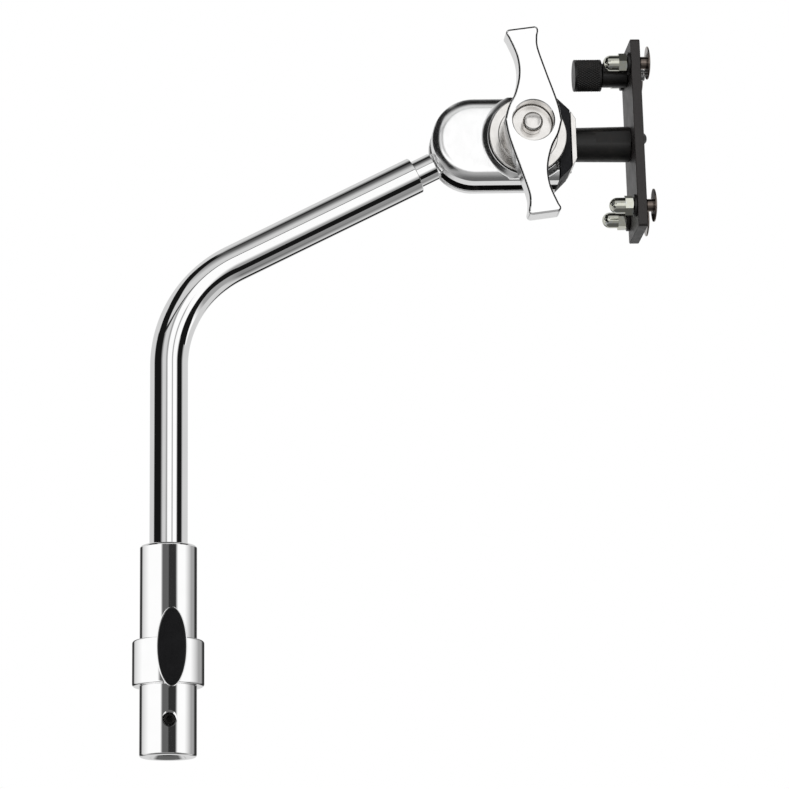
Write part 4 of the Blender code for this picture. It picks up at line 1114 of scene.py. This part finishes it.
for name, (y, z) in stud_places.items():
    place = SWIVEL @ shift(0, y, z)
    turned_place = place @ spin(NUT_TURN[name], "X")
    stud = solid(f"stud_{name}_turned", turned(rounded(profile, 4), facing_plate, sides=MEDIUM),
                 place)
    hang(stud, "plate", "nickel", nickel, f"stud_{name}")
    thin = ring(STUD_HOLE / 2, 5.75, washer_high - 1.3, washer_high, facing_plate, 0.2, SMALL)
    flat = solid(f"washer_{name}", thin, place)
    hang(flat, "plate", "black_oxide", oxide, f"stud_washer_{name}")
    cap_nut = solid(f"cap_nut_{name}", slab(hexagon(NUT_ACROSS), hex_low, nut_high, facing_plate),
                    turned_place)
    corners_off = trimmed_hexagon(NUT_ACROSS, hex_low, nut_high)
    combine(cap_nut, turned(corners_off, facing_plate), "INTERSECT")
    fuse(cap_nut, turned(dome, facing_plate, sides=MEDIUM))
    cut(cap_nut, rod(STUD_HOLE, PLATE_FACE - STUD_IN, nut_high + 2, facing_plate))
    hang(cap_nut, "plate", "zinc", zinc, f"stud_nut_{name}")

# %% [markdown]
# ## The spring plunger
#
# Between the upper studs a spring pushes a steel nose through the plate, which stops the lamp from
# sliding off. Its black knob is knurled in diamonds: two sets of grooves cross at 60 degrees, 1.25
# millimetres apart. Texture bump would vanish at the outline, so the grooves are in the mesh.

# %% Bush and nose
STEM_BORE = 2.3  # radius, for the nose's thin stem
SPRING_BORE = 4.7  # radius, for the spring
CHEEK = 2.1  # thickness of the bush's closed end
bush_high = PLATE_X - GAP
bush_low = bush_high - 12.9
bush_shape = [
    (STEM_BORE, bush_low, 0.2),
    (6.2, bush_low, 0.5),
    (6.2, bush_high, 0.2),
    (BUSH_HOLE / 2 - GAP, bush_high),
    (BUSH_HOLE / 2 - GAP, PLATE_FACE - GAP, 0.2),
    (3.3, PLATE_FACE - GAP, 0.2),
    (3.3, bush_high - 0.9),
    (SPRING_BORE, bush_high - 0.9),
    (SPRING_BORE, bush_low + CHEEK),
    (STEM_BORE, bush_low + CHEEK),
]
bush_mesh = turned(rounded(bush_shape, 4), facing_plate, bored=True, sides=MEDIUM)
bush = solid("plunger_bush_body", bush_mesh, PLUNGER)
hang(bush, "plate", "black_oxide", oxide, "plunger_bush")
flange = bush_high - 1.2
flange_low = flange - 1.5
knob_high = bush_low - GAP
nose_tip = PLATE_FACE + 4.5
nose_shape = [(0, knob_high - 11), (2, knob_high - 11, 0.3), (2, flange_low),
              (4.4, flange_low, 0.2), (4.4, flange, 0.2), (3, flange), (3, nose_tip, 1.0),
              (0, nose_tip)]
nose = solid("plunger_nose", turned(rounded(nose_shape), facing_plate, sides=SMALL), PLUNGER)
hang(nose, "plunger", "steel", steel, "plunger_pin")

# %% Spring inside the bush
WIRE_D = 0.6
SPRING_R = 3.5
SPRING_TURNS = 4.5
STEPS = 24  # rings in each turn of the wire
coil_low = bush_low + CHEEK + GAP
coil_high = flange_low - GAP
rings = []
for i in range(round(SPRING_TURNS * STEPS) + 1):
    a = 2 * math.pi * i / STEPS
    x = coil_low + WIRE_D / 2 + (coil_high - coil_low - WIRE_D) * i / (SPRING_TURNS * STEPS)
    rings.append([facing_plate((SPRING_R + u) * math.cos(a), (SPRING_R + u) * math.sin(a), x + v)
                  for u, v in circle(WIRE_D / 2, 10)])
spring = solid("coil_spring", skin(rings), PLUNGER)
hang(spring, "plate", "spring_steel", steel, "plunger_spring")
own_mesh(spring)

# %% Knurled knob
KNOB_R = 8.25
KNOB_L = 14.2
PITCH = 1.25  # between grooves, round the knob
DEPTH = 0.4
LEAN = math.radians(30)  # of each set of grooves to the axis
COUNT = round(2 * math.pi * KNOB_R / PITCH)
FLAT_TIP = 0.8  # from this share of its height on, a ridge is cut off flat
KNOB_EDGE = 0.5
PLAIN = 0.6  # smooth rim at each end


def saw(value):
    """0 in the middle of a groove and 1 on the ridge between two."""
    return abs((value % 1) * 2 - 1)


def knurled(x, angle, grown):
    """Radius of the knob at a place along it and an angle round it."""
    round_way = COUNT * angle / (2 * math.pi)
    slide = x * math.tan(LEAN) / PITCH
    ridge = min(saw(round_way + slide), saw(round_way - slide))
    return KNOB_R - DEPTH * (1 - min(1, ridge / FLAT_TIP)) * grown


knob_low = knob_high - KNOB_L
bore_end = knob_high - 11.3
sides = COUNT * 8  # eight points across each groove
steps = 84  # along the knurl, which grows and fades over a twelfth of them
turns = [2 * math.pi * j / sides for j in range(sides)]
rings = [stand([(0, 0)], facing_plate, bore_end)]
for radius, x in [(STEM_BORE, bore_end), (STEM_BORE, knob_high),
                  *arc(KNOB_R - KNOB_EDGE, knob_high - KNOB_EDGE, KNOB_EDGE, 90, 0, 4)]:
    rings.append(stand(circle(radius, sides), facing_plate, x))
for i in range(steps + 1):
    x = knob_high - PLAIN - (KNOB_L - 2 * PLAIN) * i / steps
    grown = min(1, 12 * min(i, steps - i) / steps)
    radii = [knurled(x, a, grown) for a in turns]
    rings.append([facing_plate(radius * math.cos(a), radius * math.sin(a), x)
                  for radius, a in zip(radii, turns)])
for radius, x in arc(KNOB_R - KNOB_EDGE, knob_low + KNOB_EDGE, KNOB_EDGE, 0, -90, 4):
    rings.append(stand(circle(radius, sides), facing_plate, x))
rings.append(stand([(0, 0)], facing_plate, knob_low))
knob = solid("knurled_knob", skin(rings), PLUNGER)
hang(knob, "plunger", "black_oxide", oxide, "plunger_knob", crisp=60)
print("grooves round the knob:", COUNT, "in each direction")

# %% [markdown]
# ## Pieces inside
#
# The pivot and its two friction washers are hidden once the head is closed. Their CAD shapes stay,
# with the bare steel finish in place of their plain colour.

# %% Steel for the hidden pieces
for name in ("pivot_pin", "friction_washer_front", "friction_washer_back"):
    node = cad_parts[name]
    for place in node.material_slots:
        place.material = steel
    print(name, "keeps its CAD shape, in", steel.name)

# %% [markdown]
# ## The studio
#
# Chrome has no colour of its own: a picture of it is a picture of the studio. The photograph was
# taken in a white one, with black flags hung at both sides, overhead and low down, because they
# draw the dark lines that give polished metal its edges. Real panels could be hung round the
# bracket, but panels that are near move over the metal in each view, so the studio is drawn in the
# world's background instead. It is laid out as a photographer would: six plain greys, and a plan
# of the degrees between which each one hangs. The camera itself sees plain white.

# %% The studio's few greys, and a plan of what hangs where
# Heights and directions are in degrees. Direction 0 is in front, and 90 is on the plate's side.
FLAG = "#161616"  # black felt
CLOTH = "#303030"  # dark cloth
SHADE = "#606060"  # grey card, turned from the light
CARD = "#a0a0a0"  # grey card
PAPER = "#d0d0d0"  # pale paper
WHITE = "#ffffff"  # lit screen. In a mask: the panel hangs here
BLACK = "#000000"  # in masks only: no panel here
BRIGHT = 1.1  # strength of the studio's light


def plan(first, *edges):
    """Tones by degree. Each edge is (degree, softness, tone), and its tone holds up to the next."""
    tones = {}
    shown = first
    for degree, soft, tone in edges:
        tones[degree - soft / 2] = shown
        tones[degree + soft / 2] = tone
        shown = tone
    return tones


# Upwards, in front: shaded floor, grey card, a lit screen with one thin dark rail, paper, felt.
AHEAD = plan(SHADE, (-55, 20, CARD), (-18, 12, WHITE), (23.5, 0.2, CLOTH), (26.7, 0.2, PAPER),
             (52, 20, SHADE), (69, 8, FLAG))
# Upwards, behind: shaded floor, a paper wall, felt.
BEHIND = plan(SHADE, (-46, 16, PAPER), (70, 12, FLAG))
# Round the horizon, a little above it: two felt flags, with strips of grey card between them.
TUBE_BAND = plan(PAPER, (-101, 6, FLAG), (-44, 14, PAPER), (-19, 4, CARD), (-9.5, 3, WHITE),
                 (16.5, 3, CARD), (23, 4, WHITE), (48, 8, FLAG), (86, 12, PAPER))
# Close round the pin: cloth in front, lit screens at the sides that fade to paper, paper behind
# between two narrow cloths, which draw the pin's dark outline.
PIN_CARDS = plan(PAPER, (-160, 8, CLOTH), (-130, 8, PAPER), (-105, 40, WHITE), (-28, 8, SHADE),
                 (0, 4, CLOTH), (33, 10, WHITE), (86, 36, CARD), (126, 12, CLOTH), (160, 8, PAPER))


def spread(tones, low, high):
    """Ramp stops from 0 to 1 for tones given at degrees from low to high."""
    return [((degree - low) / (high - low), colour(tone)) for degree, tone in sorted(tones.items())]


def compass(tree, place):
    """A place's own axes, its direction in radians, and that direction as 0 to 1 from the back."""
    axes = add(tree, "SeparateXYZ", {"Vector": place})
    near = add(tree, "Math", {0: axes.outputs["Y"], 1: -1.0}, operation="MULTIPLY")
    turn = add(tree, "Math", {0: axes.outputs["X"], 1: near.outputs[0]}, operation="ARCTAN2")
    way = add(tree, "MapRange", {"Value": turn.outputs[0], "From Min": -math.pi,
                                 "From Max": math.pi})
    return axes, turn.outputs[0], way.outputs["Result"]


print("most stops in one ramp:", max(map(len, (AHEAD, BEHIND, TUBE_BAND, PIN_CARDS))), "of 32")

# %% The studio in the world's background
world = bpy.data.worlds.new("white_studio_with_flags")
bpy.context.scene.world = world
world.use_nodes = True
tree = world.node_tree
axes, turn, way = compass(tree, add(tree, "TexCoord").outputs["Generated"])
lift = add(tree, "Math", {0: axes.outputs["Z"]}, operation="ARCSINE")
rise = add(tree, "MapRange", {"Value": lift.outputs[0], "From Min": -math.pi / 2,
                              "From Max": math.pi / 2}).outputs["Result"]
# The flags' edges close in by this, at each height in degrees.
LEAN_IN = {-90: 1.58, -29: 1.58, -25: 1.5, -16: 1.3, -10: 1.15, 0: 1.06, 10: 1.0, 38: 1.0,
           49: 0.78, 60: 0.8, 70: 0.9, 90: 0.9}
half = [((degree + 90) / 180, [lean / 2] * 3 + [1]) for degree, lean in LEAN_IN.items()]
close = add(tree, "ValToRGB", {"Fac": rise}, half).outputs["Color"]
closed = add(tree, "Math", {0: turn, 1: close}, operation="MULTIPLY")
flag_way = add(tree, "MapRange", {"Value": closed.outputs[0], "From Min": -math.pi / 2,
                                  "From Max": math.pi / 2}).outputs["Result"]

BEHIND_FROM = plan(WHITE, (-101, 6, BLACK), (101, 6, WHITE))
LEFT_FLAG = plan(BLACK, (-97.5, 1, WHITE), (-49.5, 1, BLACK))
LEFT_HEIGHTS = plan(BLACK, (-41, 2, WHITE), (66.5, 3, BLACK))
RIGHT_FLAG = plan(BLACK, (49.5, 1, WHITE), (97.5, 1, BLACK))
RIGHT_HEIGHTS = plan(BLACK, (-56, 2, WHITE), (66.5, 3, BLACK))
REAR_FLAGS = plan(BLACK, (-164.5, 3, WHITE), (-147.5, 3, BLACK), (147.5, 3, WHITE),
                  (164.5, 3, BLACK))
REAR_HEIGHTS = plan(BLACK, (-38, 4, WHITE), (-4.5, 3, BLACK))
TUBE_HEIGHTS = plan(BLACK, (3.1, 0.2, WHITE), (23.4, 0.2, BLACK))

studio = add(tree, "MixRGB", {
    "Fac": add(tree, "ValToRGB", {"Fac": way}, spread(BEHIND_FROM, -180, 180)).outputs["Color"],
    "Color1": add(tree, "ValToRGB", {"Fac": rise}, spread(AHEAD, -90, 90)).outputs["Color"],
    "Color2": add(tree, "ValToRGB", {"Fac": rise}, spread(BEHIND, -90, 90)).outputs["Color"],
})
for round_tones, heights, shown in (
    (LEFT_FLAG, LEFT_HEIGHTS, None),
    (RIGHT_FLAG, RIGHT_HEIGHTS, None),
    (REAR_FLAGS, REAR_HEIGHTS, None),
    (None, TUBE_HEIGHTS, TUBE_BAND),
):
    where = add(tree, "ValToRGB", {"Fac": rise}, spread(heights, -90, 90)).outputs["Color"]
    if round_tones:
        round_way = way if round_tones is REAR_FLAGS else flag_way
        side = add(tree, "ValToRGB", {"Fac": round_way}, spread(round_tones, -180, 180))
        where = add(tree, "Math", {0: where, 1: side.outputs["Color"]}, operation="MULTIPLY")
        where = where.outputs[0]
    panel = colour(FLAG)
    if shown:
        panel = add(tree, "ValToRGB", {"Fac": way}, spread(shown, -180, 180)).outputs["Color"]
    studio = add(tree, "MixRGB", {"Fac": where, "Color1": studio.outputs["Color"], "Color2": panel})
rays = add(tree, "LightPath")
seen = add(tree, "Math", {0: rays.outputs["Is Camera Ray"],
                          1: rays.outputs["Is Transmission Ray"]}, operation="MAXIMUM")
lit = add(tree, "Background", {"Color": studio.outputs["Color"], "Strength": BRIGHT})
plain = add(tree, "Background", {"Color": colour(WHITE), "Strength": 1.0})
either = add(tree, "MixShader", {"Fac": seen.outputs[0], 1: lit.outputs[0], 2: plain.outputs[0]})
tree.links.new(either.outputs[0], tree.nodes["World Output"].inputs["Surface"])
print("world nodes:", len(tree.nodes))

# %% [markdown]
# ## Cards round the pin
#
# The pin mirrors other tones than the tube that stands in it, so in the real studio something light
# and dark stood close round it. Here that is a low ring of glowing cards, which only mirrors can
# see. Its top edge is just high enough for the pin, and the tube looks out over it.

# %% Ring of cards
CARDS_R = 28.0
CARDS_FOOT = -45.0
CARDS_SIDES = 180
LOOK_UP = math.radians(10.33)  # how steeply the camera looks at the pin's top edge


def card_place(direction):
    """Where on the ring the pin's mirrored ray of a direction lands, in degrees."""
    slant = math.radians(direction / 2)
    return direction - math.degrees(math.asin(PIN_D / 2 / CARDS_R * math.sin(slant)))


def card_top(direction):
    """Height of the ring's top edge where the ray from the pin's own top edge meets it."""
    away = CARDS_R - PIN_D / 2 * math.cos(math.radians(direction / 2))
    return PIN_TOP + away * math.tan(LOOK_UP)


foot, top = [], []
for i in range(CARDS_SIDES):
    direction = -180 + 360 * i / CARDS_SIDES
    place = math.radians(card_place(direction))
    x, y = CARDS_R * math.sin(place), -CARDS_R * math.cos(place)
    foot.append((x, y, CARDS_FOOT))
    top.append((x, y, card_top(direction)))
ring_mesh = bmesh.new()
low_row, high_row = [[ring_mesh.verts.new(point) for point in row] for row in (foot, top)]
for i in range(CARDS_SIDES):
    ring_mesh.faces.new((low_row[i - 1], low_row[i], high_row[i], high_row[i - 1]))
cards = solid("pin_cards", ring_mesh)
cards.visible_camera = cards.visible_diffuse = cards.visible_transmission = False
cards.visible_shadow = cards.visible_volume_scatter = False
glow = bpy.data.materials.new("glowing_cards")
glow.use_nodes = True
glow.cycles.emission_sampling = "NONE"
tree = glow.node_tree
tree.nodes.remove(tree.nodes["Principled BSDF"])
_, _, way = compass(tree, add(tree, "TexCoord").outputs["Object"])
placed = {card_place(direction): tone for direction, tone in PIN_CARDS.items()}
tones = add(tree, "ValToRGB", {"Fac": way}, spread(placed, -180, 180))
shine = add(tree, "Emission", {"Color": tones.outputs["Color"], "Strength": BRIGHT})
tree.links.new(shine.outputs[0], tree.nodes["Material Output"].inputs["Surface"])
cards.data.materials.append(glow)
print("cards stand", round(CARDS_R), "mm out, up to", round(max(z for x, y, z in top), 1), "mm")

# %% [markdown]
# ## Floor, lamp and camera
#
# The bracket hangs as it does on a stand, so the pale floor lies well below it. One large soft lamp
# overhead lights paint and plastic and gives the floor its shadow. To the camera alone the floor
# glows a little, which makes it near white and leaves the light on the bracket as it is. Mirrors
# don't show the lamp or the floor, since the drawn studio already holds both. The camera stands
# low, about two metres away, and looks up at the head with a long lens.

# %% Floor
floor_mesh = bmesh.new()
bmesh.ops.create_circle(floor_mesh, cap_ends=True, segments=128, radius=9000)
floor = solid("studio_floor", floor_mesh, shift(80, 0, -1000))
floor.visible_glossy = False
pale, tree, shader, here = start_finish("pale_floor_paint", 0.0, 0.7)
worn = add(tree, "TexNoise", {"Vector": here, "Scale": per_metre(300), "Detail": 3})
tint = add(tree, "MixRGB", {"Fac": worn.outputs["Fac"], "Color1": colour("#f6f6f6"),
                            "Color2": colour("#f2f2f1")})
tree.links.new(tint.outputs["Color"], shader.inputs["Base Color"])
rays = add(tree, "LightPath")
lift = add(tree, "MapRange", {"Value": rays.outputs["Is Camera Ray"], "To Max": 0.5})
shader.inputs["Emission Color"].default_value = colour(WHITE)
tree.links.new(lift.outputs["Result"], shader.inputs["Emission Strength"])
floor.data.materials.append(pale)

# %% Lamp
lamp = bpy.data.lights.new("soft_lamp", "AREA")
lamp.shape = "DISK"
lamp.size = 1.6
lamp.energy = 26  # watts
overhead = bpy.data.objects.new("soft_lamp", lamp)
overhead.matrix_world = shift(-500, -1300, 1600) @ spin(42, "X")
overhead.visible_glossy = False
bpy.context.scene.collection.objects.link(overhead)

# %% Camera
lens = bpy.data.cameras.new("camera")
lens.sensor_width = 36.0
lens.lens = 173.4
lens.clip_start = 0.05
lens.clip_end = 100.0
camera = bpy.data.objects.new("camera", lens)
camera.matrix_world = (
    shift(-23.49, -1868.8, -269.96)
    @ spin(-4.2, "Z")
    @ spin(102.6, "X")
    @ spin(-0.6, "Z")
)
bpy.context.scene.collection.objects.link(camera)
bpy.context.scene.camera = camera
bpy.context.scene.view_settings.view_transform = "Standard"
